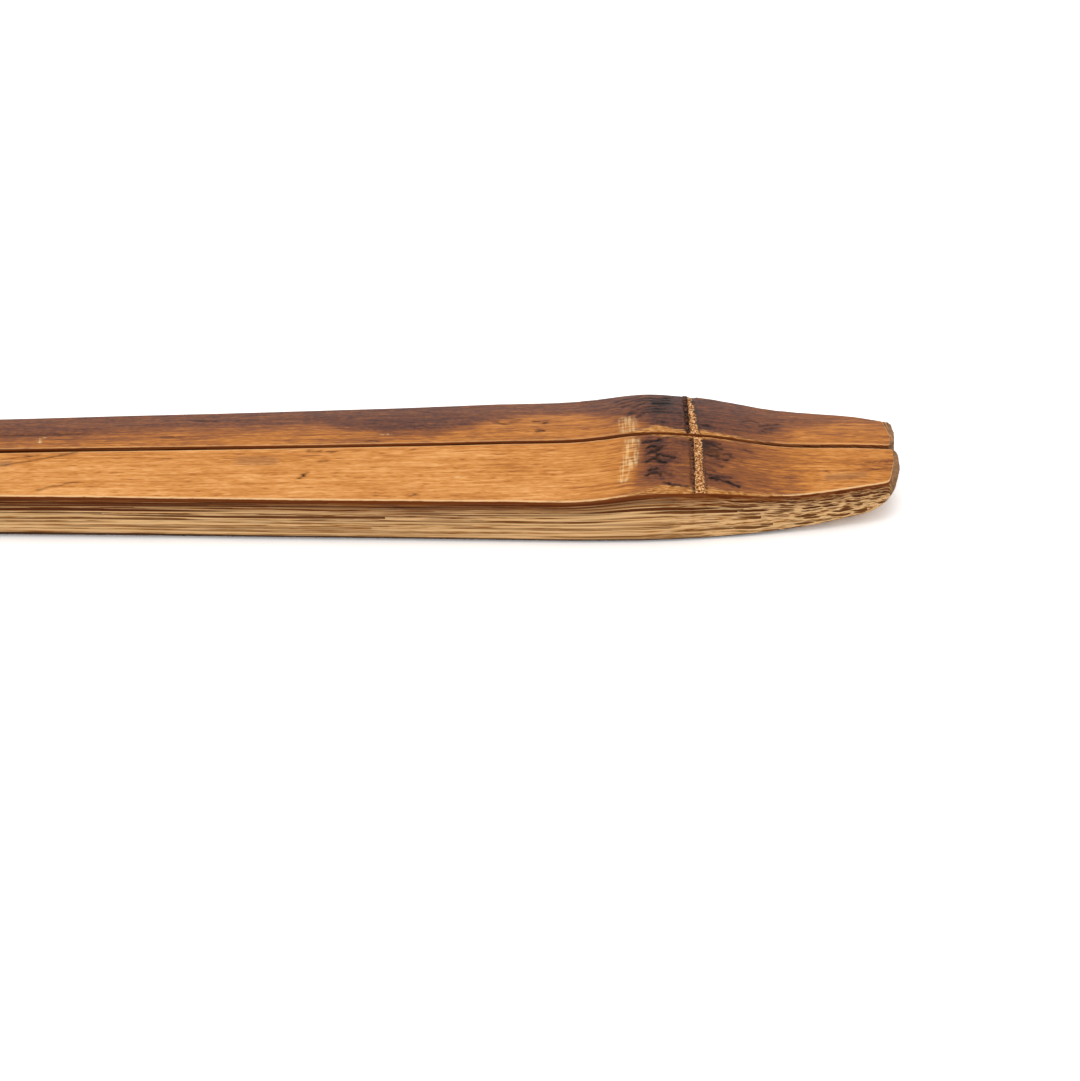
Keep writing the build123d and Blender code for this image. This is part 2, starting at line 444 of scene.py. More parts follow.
@dataclass(frozen=True)
class Heat:
    """The burns and the drawn marks of a stick's skin, and how unevenly they lie on it."""

    burns: tuple[Burn, ...]
    strokes: tuple[Stroke, ...]
    wander: tuple[Ripple, ...] = (Ripple((7.0, 1.6, 9.0), 0.0), Ripple((1.8, 0.4, 9.0), 5.0, 0.7))
    edge_wander: float = 0.9
    tone_wander: float = 0.06
    edge_blur: Place = (-1.2, 1.0)
    ragged_along: Ripple = Ripple((0.5, 0.3, 1.0), 11.0, 0.2)
    ragged_across: Ripple = Ripple((0.4, 0.5, 1.0), 17.0, 0.16)
    halo_widening: float = 3.0
    halo_burn: float = 0.1
    halo_unevenness: Ripple = Ripple((0.8, 0.5, 1.0), 41.0, 0.08)
    scorch_burn: float = 0.9
    scorch_unevenness: Ripple = Ripple((0.35, 0.25, 1.0), 37.0, 0.3)

    def paint(self, found: np.ndarray, layers: dict[str, np.ndarray], seed: float) -> None:
        """Adds the layers burn, scorch, scuff and smudge.

        Args:
            found: Places on the solid.
            layers: The measured layers, which get the new ones.
            seed: The stick's own seed.
        """
        x, across = layers["x"], layers["across"]
        wander = sum(ripple.over(found, seed) for ripple in self.wander)
        edge = table([(burn.x, burn.edge) for burn in self.burns], x) + self.edge_wander * wander
        near = table([(burn.x, burn.near) for burn in self.burns], x)
        far = table([(burn.x, burn.far) for burn in self.burns], x)
        beyond = rise(*self.edge_blur, across - edge)
        layers["burn"] = near + (far - near) * beyond + self.tone_wander * wander
        ragged = (x + self.ragged_along.over(found, seed), across + self.ragged_across.over(found, seed))
        for mark in Mark:
            layers[mark.name.lower()] = self.draw(mark, ragged)
        halo = self.draw(Mark.SCORCH, ragged, self.halo_widening)
        layers["burn"] += (self.halo_burn + self.halo_unevenness.over(found, seed)) * halo
        layers["scorch"] *= self.scorch_burn + self.scorch_unevenness.over(found, seed)

    def draw(
        self, mark: Mark, places: tuple[np.ndarray, np.ndarray], widening: float = 1.0
    ) -> np.ndarray:
        """How strongly the strokes of one kind cover each place.

        Args:
            mark: The kind.
            places: X of the places and their distances from the split plane.
            widening: How many times as wide as themselves the strokes are drawn.

        Returns:
            The cover of the strongest stroke at each place.
        """
        cover = np.zeros_like(places[0])
        for stroke in self.strokes:
            if stroke.mark is mark:
                cover = np.maximum(cover, stroke.cover(*places, widening))
        return cover


@dataclass(frozen=True)
class Relief:
    """The fine relief that a stick has beyond its solid, in millimetres."""

    skin_edge: Place = (0.15, -0.1)
    ring_edge: Place = (-0.05, 0.1)
    cleft_edge: Place = (-0.05, 0.15)
    above_table: Place = (0.1, 0.5)
    grit: Ripple = Ripple((0.3, 0.3, 0.3), 23.0)
    waves: Ripple = Ripple((4.0, 1.4, 4.0), 29.0)
    furrows: Ripple = Ripple((16.0, 0.5, 0.5), 31.0)
    wave_height: float = 0.018
    scorch_depth: float = 0.07
    scar_grit: float = 0.035
    crevice_depth: float = 0.126
    crevice_grit: float = 0.098
    furrow_height: float = 0.04
    furrow_depth: float = 0.024

    def lift(self, found: np.ndarray, layers: dict[str, np.ndarray], seed: float) -> np.ndarray:
        """How far each place stands proud of the solid, which is mostly less than nothing.

        Args:
            found: Places on the solid.
            layers: The measured and painted layers.
            seed: The stick's own seed.

        Returns:
            The offsets along the normals.
        """
        on_skin = rise(*self.skin_edge, layers["border"])
        ring = rise(*self.ring_edge, layers["ring"]) * on_skin
        cleft = rise(*self.cleft_edge, layers["cleft"]) * on_skin
        grit = self.grit.over(found, seed)
        furrows = self.furrows.over(layers["fibre"], seed)
        lift = self.wave_height * self.waves.over(found, seed) - self.scorch_depth * layers["scorch"]
        lift *= on_skin
        lift += ring * self.scar_grit * grit
        lift -= cleft * (self.crevice_depth + self.crevice_grit * grit)
        lift += (1 - on_skin) * (self.furrow_height * furrows - self.furrow_depth)
        return lift * rise(*self.above_table, found[..., 2])


@dataclass(frozen=True)
class Foot:
    """The eased lower edge on a stick's outer side: its height along the stick and its slope."""

    heights: tuple[Place, ...] = (
        (-120.0, 0.4),
        (-60.0, 0.6),
        (21.0, 1.05),
        (60.0, 0.9),
        (83.0, 0.7),
        (112.0, 0.5),
    )
    slope: float = 0.35
    end: Place = (118.0, 112.0)

    def share(self, x: np.ndarray, height: np.ndarray) -> np.ndarray:
        """How far down the eased edge each place lies, from 0 above it to 1 on the table."""
        return rise(1.0, 0.0, height / table(self.heights, x))

    def ease(self, layers: dict[str, np.ndarray]) -> np.ndarray:
        """How far the edge is eased back towards the split plane.

        Args:
            layers: The measured layers.

        Returns:
            The way across at each place.
        """
        depth = table(self.heights, layers["x"]) * self.slope
        share = np.clip(layers["beyond"] / (2 * depth) + 1, 0, 1)
        return depth * share * layers["eased"] * rise(*self.end, layers["x"])


@dataclass(frozen=True)
class Chopstick:
    """One stick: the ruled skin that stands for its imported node, with its burns and marks."""

    name: str
    node: str
    lie: Lie
    lead: float
    swelling: CulmNode
    heat: Heat
    seed: float
    ruling: Ruling = Ruling()
    culm: Culm = Culm()
    relief: Relief = Relief()
    foot: Foot = Foot()
    half_length: float = 119.66
    tip_middle: Place = (2.2, 2.0)
    fibre_offset: float = 40.0

    def build(self, material: bpy.types.Material) -> bpy.types.Object:
        """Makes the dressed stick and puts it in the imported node's place.

        Args:
            material: Its finish.

        Returns:
            The new piece.
        """
        hull = Hull(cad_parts[self.node])
        found, normals, shift = self.wrap(hull)
        layers = self.survey(hull, found, shift)
        found[..., 2] += layers["filling"]
        layers["eased"] = self.foot.share(layers["x"], found[..., 2])
        self.heat.paint(found, layers, self.seed)
        places = found + normals * self.relief.lift(found, layers, self.seed)[..., None]
        places[..., 0] -= shift
        places[..., 1] -= self.lie.value * self.foot.ease(layers)
        piece = self.mesh(places, layers)
        piece.data.materials.append(material)
        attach(piece, "root")
        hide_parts(self.node)
        return piece

    def wrap(self, hull: Hull) -> tuple[np.ndarray, np.ndarray, np.ndarray]:
        """Lays the rulings on the solid.

        Args:
            hull: The solid.

        Returns:
            Places on the solid as rings by lines by 3, from the tip's pole to the butt's, their
            normals, and how far along X each place is taken from its station.
        """
        stations = self.ruling.stations()
        outline = self.ruling.outline(self.lie)
        across, height = self.tip_middle
        middle = Vector((stations[0], self.lie.value * across, height))
        rings: list[list[tuple[Vector, Vector]]] = []
        shifts: list[np.ndarray] = []
        for index, x in enumerate(stations):
            middle, half_width, half_height = hull.section(x, middle)
            spokes = [Vector((0, a * half_width, u * half_height)) for a, u in outline]
            y = np.array([middle.y + spoke.y for spoke in spokes])
            shift = self.swelling.shift(np.full(y.shape, x - self.lead), y)
            cap = []
            if index in (0, len(stations) - 1):
                cap = self.cap(hull, middle, spokes, -1 if index == 0 else 1)
            ring = [
                hull.hit(middle + Vector((offset, 0, 0)), spoke)
                for offset, spoke in zip(shift, spokes)
            ]
            block = cap[::-1] + [ring] if index == 0 else [ring] + cap
            rings += block
            shifts += [shift if row is ring else np.zeros_like(shift) for row in block]
        found = np.array([[tuple(place) for place, _ in ring] for ring in rings])
        normals = np.array([[tuple(normal) for _, normal in ring] for ring in rings])
        return found, normals, np.array(shifts)

    def cap(
        self, hull: Hull, middle: Vector, spokes: Sequence[Vector], sense: int
    ) -> list[list[tuple[Vector, Vector]]]:
        """Rings that close one end, from the first one past the last station to the pole.

        Args:
            hull: The solid.
            middle: The middle of the last section.
            spokes: The directions of the lines in that section.
            sense: 1 towards the butt, -1 towards the tip.

        Returns:
            The rings of places and normals.
        """
        count = self.ruling.butt_rings if sense > 0 else self.ruling.tip_rings
        reach = abs(hull.hit(middle, Vector((sense, 0, 0)))[0].x - middle.x)
        rings = []
        for step in range(1, count + 1):
            turn = math.pi / 2 * step / count
            axial = Vector((sense * reach * math.sin(turn), 0, 0))
            rings.append([hull.hit(middle, spoke * math.cos(turn) + axial) for spoke in spokes])
        return rings

    def survey(self, hull: Hull, found: np.ndarray, shift: np.ndarray) -> dict[str, np.ndarray]:
        """Measures where every place lies on the stick.

        Args:
            hull: The solid.
            found: Places on it.
            shift: How far along X each place is taken from its station.

        Returns:
            Layers by name. x, across and beyond are the place in the row frame, the distance from
            the split plane and the distance beyond the outer side. border and sanded are how far a
            place lies beyond the edges of the skin and inside the sanded zones, ring and cleft how
            far inside the scar ring and the crevice, and filling how much the worn edges fill both
            up. fibre is its place among the fibres, and marks its place among the marks that the
            fibre bundles leave on a cut.
        """
        culm, swelling = self.culm, self.swelling
        stations = culm.stations()
        heights = culm.skin_height(hull, self.lie, stations)
        inner, outer = culm.sides(hull, self.lie, stations)
        x, y, z = found[..., 0], found[..., 1], found[..., 2]
        across = np.abs(y)
        radius = np.interp(x, stations, heights) - culm.axis_height
        skin = culm.axis_height + np.sqrt(radius**2 - y**2)
        even = skin + np.interp(x, stations, culm.smooth(stations, heights) - heights)
        level = culm.axis_height + np.sqrt(culm.level_radius**2 - y**2)
        depth = np.maximum(skin - z, 0.0)
        beyond = across - np.interp(x, stations, outer)
        outside = beyond + culm.outer_facet + depth
        inside = np.interp(x, stations, inner) + culm.inner_facet - across + depth
        along = x - self.lead
        start, end = swelling.crevice
        worn = np.maximum(rise(*culm.outer_wear, beyond), rise(*culm.inner_wear, across))
        filling = (even - skin) * worn * np.clip(z / skin, 0, 1) ** culm.filling_power
        height = z + filling
        height = height + (level - even) * np.clip(height / even, 0, 1) ** culm.levelling_power
        marks = np.cumsum(culm.survey_step / table(culm.mark_lengths, stations))
        past_skin = np.maximum(outside, inside + culm.split_margin)
        outer_sanded = outside + table(swelling.sanded_outside, x)
        inner_sanded = inside + table(swelling.sanded_inside, x)
        return {
            "x": x - shift,
            "across": across,
            "beyond": beyond,
            "border": np.maximum(past_skin, np.abs(along) - self.half_length),
            "sanded": np.maximum(outer_sanded, inner_sanded),
            "ring": np.minimum(along - end, table(swelling.scar_end, across) - along),
            "cleft": np.minimum(along - start, end - along),
            "filling": filling,
            "fibre": np.stack((x, y + self.lie.value * self.fibre_offset, height), -1),
            "marks": np.stack((np.interp(x, stations, marks), height + beyond, across + self.seed), -1),
        }

    def mesh(self, places: np.ndarray, layers: dict[str, np.ndarray]) -> bpy.types.Object:
        """A closed mesh over the rulings, shaped from a ball with as many rings and lines.

        Args:
            places: The rings of places, in millimetres.
            layers: The layers that the finish reads.

        Returns:
            The object, linked to the scene.
        """
        rings, lines, _ = places.shape
        ball = bmesh.new()
        bmesh.ops.create_uvsphere(ball, u_segments=lines, v_segments=rings - 1, radius=1.0)
        order = np.zeros(len(ball.verts), int)
        for vert in ball.verts:
            ring = round(math.acos(max(-1.0, min(1.0, -vert.co.z))) / math.pi * (rings - 1))
            line = round(math.atan2(vert.co.y, vert.co.x) / math.tau * lines) % lines
            vert.co = Vector(places[ring, line]) * MM
            order[vert.index] = ring * lines + line
        bmesh.ops.recalc_face_normals(ball, faces=ball.faces)
        for face in ball.faces:
            face.smooth = True
        data = bpy.data.meshes.new(self.name)
        ball.to_mesh(data)
        ball.free()
        for name, parts in (
            ("fibre", ("fibre",)),
            ("marks", ("marks",)),
            ("edges", ("border", "sanded", "eased")),
            ("spot", ("x", "across", "beyond")),
            ("paint", ("burn", "scorch", "scuff")),
            ("node", ("ring", "cleft", "smudge")),
        ):
            rows = [layers[part] for part in parts]
            rows = np.stack(rows, -1) if len(rows) > 1 else rows[0]
            layer = data.attributes.new(name, "FLOAT_VECTOR", "POINT")
            layer.data.foreach_set("vector", rows.reshape(-1, 3)[order].astype(np.float32).ravel())
        piece = bpy.data.objects.new(self.name, data)
        bpy.context.scene.collection.objects.link(piece)
        return piece


class Nodes:
    """A shader node tree with short calls for the nodes that the finishes use."""

    def __init__(self, tree: bpy.types.NodeTree) -> None:
        """Wraps the tree.

        Args:
            tree: The tree to add to.
        """
        self.tree = tree

    def add(self, kind: str, **settings: object) -> bpy.types.Node:
        """Adds a node.

        Args:
            kind: Its type name.
            settings: Properties to set on it.

        Returns:
            The node.
        """
        node = self.tree.nodes.new(kind)
        for key, value in settings.items():
            setattr(node, key, value)
        return node

    def put(self, socket: Socket, value: object) -> None:
        """Links a socket to another, or sets its own value.

        Args:
            socket: The input.
            value: The output to link, or the value to set.
        """
        if isinstance(value, bpy.types.NodeSocket):
            self.tree.links.new(value, socket)
        else:
            socket.default_value = value

    def math(self, operation: str, *values: Value, clamp: bool = False) -> Socket:
        """The result of one sum on values.

        Args:
            operation: The Math node's operation.
            values: Its inputs.
            clamp: Whether the result is kept from 0 to 1.

        Returns:
            The result.
        """
        node = self.add("ShaderNodeMath", operation=operation, use_clamp=clamp)
        for socket, value in zip(node.inputs, values):
            self.put(socket, value)
        return node.outputs[0]

    def rise(self, value: Value, low: Value, high: Value, top: Value = 1.0) -> Socket:
        """An S-shaped rise from 0 at low to top at high, which may be the smaller one.

        Args:
            value: The value to look up.
            low: Where the rise starts.
            high: Where it ends.
            top: The height that it reaches.

        Returns:
            The height of the rise.
        """
        node = self.add("ShaderNodeMapRange", interpolation_type="SMOOTHSTEP")
        for socket, given in zip(node.inputs, (value, low, high, 0.0, top)):
            self.put(socket, given)
        return node.outputs[0]

    def times(self, *factors: Value) -> Socket:
        """The product of two or more values.

        Args:
            factors: The values.

        Returns:
            Their product.
        """
        product, *others = factors
        for factor in others:
            product = self.math("MULTIPLY", product, factor)
        return product

    def most(self, *values: Value) -> Socket:
        """The largest of two or more values.

        Args:
            values: The values.

        Returns:
            The largest one at each place.
        """
        largest, *others = values
        for value in others:
            largest = self.math("MAXIMUM", largest, value)
        return largest

    def blend(self, factor: Value, a: object, b: object) -> Socket:
        """A colour between a and b.

        Args:
            factor: 0 gives a, 1 gives b.
            a: The first colour.
            b: The second colour.

        Returns:
            The mixed colour.
        """
        node = self.add("ShaderNodeMix", data_type="RGBA", clamp_factor=True)
        for index, value in zip((0, 6, 7), (factor, a, b)):
            self.put(node.inputs[index], value)
        return node.outputs[2]

    def mix(self, factor: Value, a: Value, b: Value) -> Socket:
        """A value between a and b.

        Args:
            factor: 0 gives a, 1 gives b.
            a: The first value.
            b: The second value.

        Returns:
            The mixed value.
        """
        node = self.add("ShaderNodeMix", data_type="FLOAT")
        for index, value in zip((0, 2, 3), (factor, a, b)):
            self.put(node.inputs[index], value)
        return node.outputs[0]

    def ramp(self, value: Value, stops: Sequence[tuple[float, Screen]]) -> Socket:
        """A colour looked up along a row of stops.

        Args:
            value: The place on the row.
            stops: Places and screen colours.

        Returns:
            The colour.
        """
        node = self.add("ShaderNodeValToRGB")
        self.put(node.inputs[0], value)
        elements = node.color_ramp.elements
        elements.remove(elements[1])
        elements[0].position, elements[0].color = stops[0][0], linear(stops[0][1])
        for place, screen in stops[1:]:
            elements.new(place).color = linear(screen)
        return node.outputs[0]

    def parts(self, vector: Socket) -> tuple[Socket, Socket, Socket]:
        """The three parts of a vector.

        Args:
            vector: The vector.

        Returns:
            Its X, Y and Z.
        """
        node = self.add("ShaderNodeSeparateXYZ")
        self.put(node.inputs[0], vector)
        return node.outputs[0], node.outputs[1], node.outputs[2]

    def layer(self, name: str) -> Socket:
        """A stick's own attribute as a vector.

        Args:
            name: The attribute.

        Returns:
            The vector.
        """
        return self.add("ShaderNodeAttribute", attribute_name=name).outputs["Vector"]


class Effect(ABC):
    """A shader node group with named inputs and outputs, built once and placed where it is used."""

    name: str
    inputs: dict[str, object]
    outputs: dict[str, str]
    kinds = {float: "NodeSocketFloat", tuple: "NodeSocketVector"}

    @classmethod
    def tree(cls) -> bpy.types.NodeTree:
        """Finds the group's tree, or makes it on first use.

        Returns:
            The tree.
        """
        found = bpy.data.node_groups.get(cls.name)
        if found:
            return found
        tree = bpy.data.node_groups.new(cls.name, "ShaderNodeTree")
        for label, default in cls.inputs.items():
            kind = cls.kinds[type(default)]
            socket = tree.interface.new_socket(label, in_out="INPUT", socket_type=kind)
            socket.default_value = default
        for label, kind in cls.outputs.items():
            tree.interface.new_socket(label, in_out="OUTPUT", socket_type=kind)
        nodes = Nodes(tree)
        given = nodes.add("NodeGroupInput").outputs
        results = cls.wire(nodes, {label: given[label] for label in cls.inputs})
        out = nodes.add("NodeGroupOutput")
        for label, result in results.items():
            nodes.put(out.inputs[label], result)
        return tree

    @classmethod
    def place(cls, nodes: Nodes, **values: object) -> dict[str, Socket]:
        """Puts the group into a tree.

        Args:
            nodes: The tree to add to.
            values: Its inputs, by name in lower case with underscores.

        Returns:
            Its outputs by name.
        """
        node = nodes.add("ShaderNodeGroup")
        node.node_tree = cls.tree()
        for label in cls.inputs:
            key = label.lower().replace(" ", "_")
            if key in values:
                nodes.put(node.inputs[label], values[key])
        return {label: node.outputs[label] for label in cls.outputs}

    @classmethod
    @abstractmethod
    def wire(cls, nodes: Nodes, given: dict[str, Socket]) -> dict[str, Socket]:
        """Wires the inside of the group.

        Args:
            nodes: The group's tree.
            given: Its inputs.

        Returns:
            What each output gets.
        """


class Streaks(Effect):
    """Noise drawn out along the fibres."""

    name = "streaks"
    inputs = {"Fibre": (0.0, 0.0, 0.0), "Along": 5.0, "Across": 0.2, "Detail": 2.0}
    outputs = {"Value": "NodeSocketFloat"}
    coarseness = 0.55

    @classmethod
    def wire(cls, nodes: Nodes, given: dict[str, Socket]) -> dict[str, Socket]:
        """Stretches the fibre place before the noise reads it.

        Args:
            nodes: The group's tree.
            given: The fibre place, the streaks' size along and across, and their detail.

        Returns:
            The noise, around 0.5.
        """
        x, y, z = nodes.parts(given["Fibre"])
        place = nodes.add("ShaderNodeCombineXYZ")
        nodes.put(place.inputs[0], nodes.math("DIVIDE", x, given["Along"]))
        nodes.put(place.inputs[1], nodes.math("DIVIDE", y, given["Across"]))
        nodes.put(place.inputs[2], nodes.math("DIVIDE", z, given["Across"]))
        cloud = nodes.add("ShaderNodeTexNoise", noise_dimensions="3D")
        nodes.put(cloud.inputs["Vector"], place.outputs[0])
        nodes.put(cloud.inputs["Scale"], 1.0)
        nodes.put(cloud.inputs["Detail"], given["Detail"])
        nodes.put(cloud.inputs["Roughness"], cls.coarseness)
        return {"Value": cloud.outputs[0]}


@dataclass(frozen=True)
class Grain:
    """Streaks of one size: their length and width in millimetres, and how detailed they are."""

    along: float
    across: float
    detail: float = 2.0

    def over(self, nodes: Nodes, fibre: Socket) -> Socket:
        """The noise over a stick, around 0.5."""
        sizes = {"along": self.along, "across": self.across, "detail": self.detail}
        return Streaks.place(nodes, fibre=fibre, **sizes)["Value"]

    def swing(self, nodes: Nodes, fibre: Socket) -> Socket:
        """The same noise around 0."""
        return nodes.math("SUBTRACT", self.over(nodes, fibre), 0.5)


@dataclass(frozen=True)
class Slope:
    """An S-shaped change from 0 at start to top at end, of which either may be the smaller one."""

    start: float
    end: float
    top: float = 1.0

    def over(self, nodes: Nodes, value: Socket) -> Socket:
        """The height of the slope at a value."""
        return nodes.rise(value, self.start, self.end, self.top)


class Bundles(Effect):
    """The marks of the bamboo's fibre bundles on a cut.

    They are long streaks where the cut runs with the bundles, and short spindles where it runs
    across them. Each has a dark core with a pale lip below it: the pale sheath of the bundle, kept
    only below the core as a painted highlight of a furrow lit from above.
    """

    name = "fibre_bundles"
    inputs = {"Marks": (0.0, 0.0, 0.0), "Shortness": 1.0, "Pitch": 0.54, "Sway": 0.3}
    outputs = {"Core": "NodeSocketFloat", "Lip": "NodeSocketFloat"}
    bend = Grain(0.35, 2.6, 1.0)
    darkness = Slope(0.1, 0.3)
    core = Slope(0.34, 0.25)
    lip_inside = Slope(0.26, 0.36)
    lip_outside = Slope(0.68, 0.46)
    highlight_below_core = Slope(-0.2, 0.1)
    shortest, length_spread = -0.05, 1.2
    smallest, size_spread = 0.75, 0.5

    @classmethod
    def wire(cls, nodes: Nodes, given: dict[str, Socket]) -> dict[str, Socket]:
        """Lays cells end to end; a few are pale, and a few break off before their end.

        Args:
            nodes: The group's tree.
            given: The place among the marks, and the marks' shortness, pitch and sway.

        Returns:
            How far each place lies in a core, and how far in the lip that is painted as a highlight below
            it.
        """
        along, height, _ = nodes.parts(given["Marks"])
        bend = cls.bend.swing(nodes, given["Marks"])
        height = nodes.math("MULTIPLY_ADD", bend, given["Sway"], height)
        place = nodes.add("ShaderNodeCombineXYZ")
        nodes.put(place.inputs[0], nodes.times(along, given["Shortness"]))
        nodes.put(place.inputs[1], nodes.math("DIVIDE", height, given["Pitch"]))
        cells = nodes.add("ShaderNodeTexVoronoi", feature="F1", voronoi_dimensions="2D")
        nodes.put(cells.inputs["Vector"], place.outputs[0])
        nodes.put(cells.inputs["Scale"], 1.0)
        chance = nodes.parts(cells.outputs["Color"])
        middle = nodes.parts(cells.outputs["Position"])
        here = nodes.parts(place.outputs[0])
        above = nodes.math("SUBTRACT", middle[1], here[1])
        ahead = nodes.math("SUBTRACT", here[0], middle[0])
        length = nodes.math("MULTIPLY_ADD", chance[1], cls.length_spread, cls.shortest)
        whole = nodes.math("GREATER_THAN", length, ahead)
        size = nodes.math("MULTIPLY_ADD", chance[2], cls.size_spread, cls.smallest)
        distance = nodes.math("DIVIDE", cells.outputs["Distance"], size)
        core = cls.core.over(nodes, distance)
        lip = nodes.times(cls.lip_inside.over(nodes, distance), cls.lip_outside.over(nodes, distance))
        return {
            "Core": nodes.times(core, cls.darkness.over(nodes, chance[0]), whole),
            # The pale lip is kept only below the core, as a painted highlight.
            "Lip": nodes.times(lip, cls.highlight_below_core.over(nodes, above)),
        }


@dataclass(frozen=True)
class SkinFinish:
    """The culm's own skin, from golden where the heat spared it to char."""

    tones: tuple[tuple[float, Screen], ...] = (
        (0.0, (242, 176, 108)),
        (0.15, (221, 148, 76)),
        (0.3, (193, 120, 50)),
        (0.45, (152, 90, 46)),
        (0.6, (124, 72, 42)),
        (0.75, (96, 54, 40)),
        (0.9, (58, 36, 30)),
        (1.0, (16, 8, 5)),
    )
    clouds: tuple[tuple[Grain, float], ...] = (
        (Grain(3.4, 0.17, 3.0), 0.36),
        (Grain(1.0, 0.13, 1.0), 0.34),
        (Grain(18.0, 0.3, 3.0), 0.46),
        (Grain(2.4, 0.6, 3.0), 0.22),
    )
    char: Grain = Grain(0.55, 0.3, 3.0)
    charred: Slope = Slope(0.46, 0.66, 0.45)
    dashes: Grain = Grain(1.6, 0.19, 1.0)
    dark_dashes: Slope = Slope(0.6, 0.72, 0.14)
    pale_dashes: Slope = Slope(0.38, 0.28, 0.1)
    dash_depth: float = 0.3
    # Painted highlight along the skin's edge: its colour, how wide it is, and where it is kept.
    rim_highlight: Screen = (254, 206, 148)
    rim_width: Slope = Slope(-0.13, -0.03)
    rim_unburnt: Slope = Slope(0.66, 0.36, 0.8)
    rim_outside: Slope = Slope(2.0, 3.0, 0.7)
    rim_at_split: float = 0.3
    smudged: Screen = (98, 72, 60)
    smudge: float = 0.6
    scuffed: Screen = (252, 212, 150)
    weft: Grain = Grain(0.21, 2.2, 0.0)
    warp: Grain = Grain(1.6, 0.21, 0.0)
    weft_lines: Slope = Slope(0.44, 0.58, 0.45)
    warp_lines: Slope = Slope(0.44, 0.58, 0.4)
    roughness: float = 0.42
    gloss: float = 0.1
    gloss_roughness: float = 0.4

    def dress(self, nodes: Nodes, fibre: Socket, border: Socket, smudge: Socket) -> tuple[Socket, Socket]:
        """The skin with its burns and marks.

        Args:
            nodes: The material's tree.
            fibre: The place among the fibres.
            border: The distance beyond the skin's edge.
            smudge: How stained the place is.

        Returns:
            The colour and the height of the fine relief.
        """
        burn, scorch, scuff = nodes.parts(nodes.layer("paint"))
        tone = burn
        for grain, share in self.clouds:
            tone = nodes.math("MULTIPLY_ADD", grain.swing(nodes, fibre), share, tone)
        char = self.char.swing(nodes, fibre)
        tone = nodes.math("MULTIPLY_ADD", char, self.charred.over(nodes, burn), tone)
        dash = self.dashes.over(nodes, fibre)
        tone = nodes.math("ADD", tone, self.dark_dashes.over(nodes, dash))
        tone = nodes.math("SUBTRACT", tone, self.pale_dashes.over(nodes, dash))
        colour = nodes.ramp(tone, self.tones)
        # Painted highlight along the skin's edge, paler where the skin is less burnt.
        colour = nodes.blend(self.painted_rim_highlight(nodes, border, tone), colour, linear(self.rim_highlight))
        colour = nodes.blend(nodes.times(smudge, self.smudge), colour, linear(self.smudged))
        colour = nodes.blend(self.hatch(nodes, fibre, scuff), colour, linear(self.scuffed))
        colour = nodes.blend(scorch, colour, linear(self.tones[-1][1]))
        return colour, nodes.times(dash, -self.dash_depth)

    def painted_rim_highlight(self, nodes: Nodes, border: Socket, tone: Socket) -> Socket:
        """The painted highlight along the skin's edge, mostly on the outer side.

        Args:
            nodes: The material's tree.
            border: The distance beyond the skin's edge.
            tone: How burnt the skin is.

        Returns:
            The strength of the painted highlight.
        """
        _, across, _ = nodes.parts(nodes.layer("spot"))
        width = self.rim_width.over(nodes, border)
        outside = nodes.math("ADD", self.rim_outside.over(nodes, across), self.rim_at_split)
        return nodes.times(width, self.rim_unburnt.over(nodes, tone), outside)

    def hatch(self, nodes: Nodes, fibre: Socket, scuff: Socket) -> Socket:
        """The crossed fine lines of the scuffs.

        Args:
            nodes: The material's tree.
            fibre: The place among the fibres.
            scuff: How scuffed the place is.

        Returns:
            The strength of the pale lines.
        """
        weft = self.weft_lines.over(nodes, self.weft.over(nodes, fibre))
        warp = self.warp_lines.over(nodes, self.warp.over(nodes, fibre))
        return nodes.math("MULTIPLY", nodes.math("ADD", weft, warp), scuff, clamp=True)


@dataclass(frozen=True)
class Tint:
    """A colour laid where two slopes are both high: over depths below the skin, and over a grain."""

    colour: Screen
    depth: Slope
    grain: Slope

    def over(
        self, nodes: Nodes, under: Socket, border: Socket, grain: Socket, share: Value = 1.0
    ) -> Socket:
        """Lays the colour over another.

        Args:
            nodes: The material's tree.
            under: The colour below it.
            border: The distance beyond the skin's edge.
            grain: What the second slope runs over.
            share: How much of the tint is kept.

        Returns:
            The colour with the tint.
        """
        strength = nodes.times(self.depth.over(nodes, border), self.grain.over(nodes, grain), share)
        return nodes.blend(strength, under, linear(self.colour))


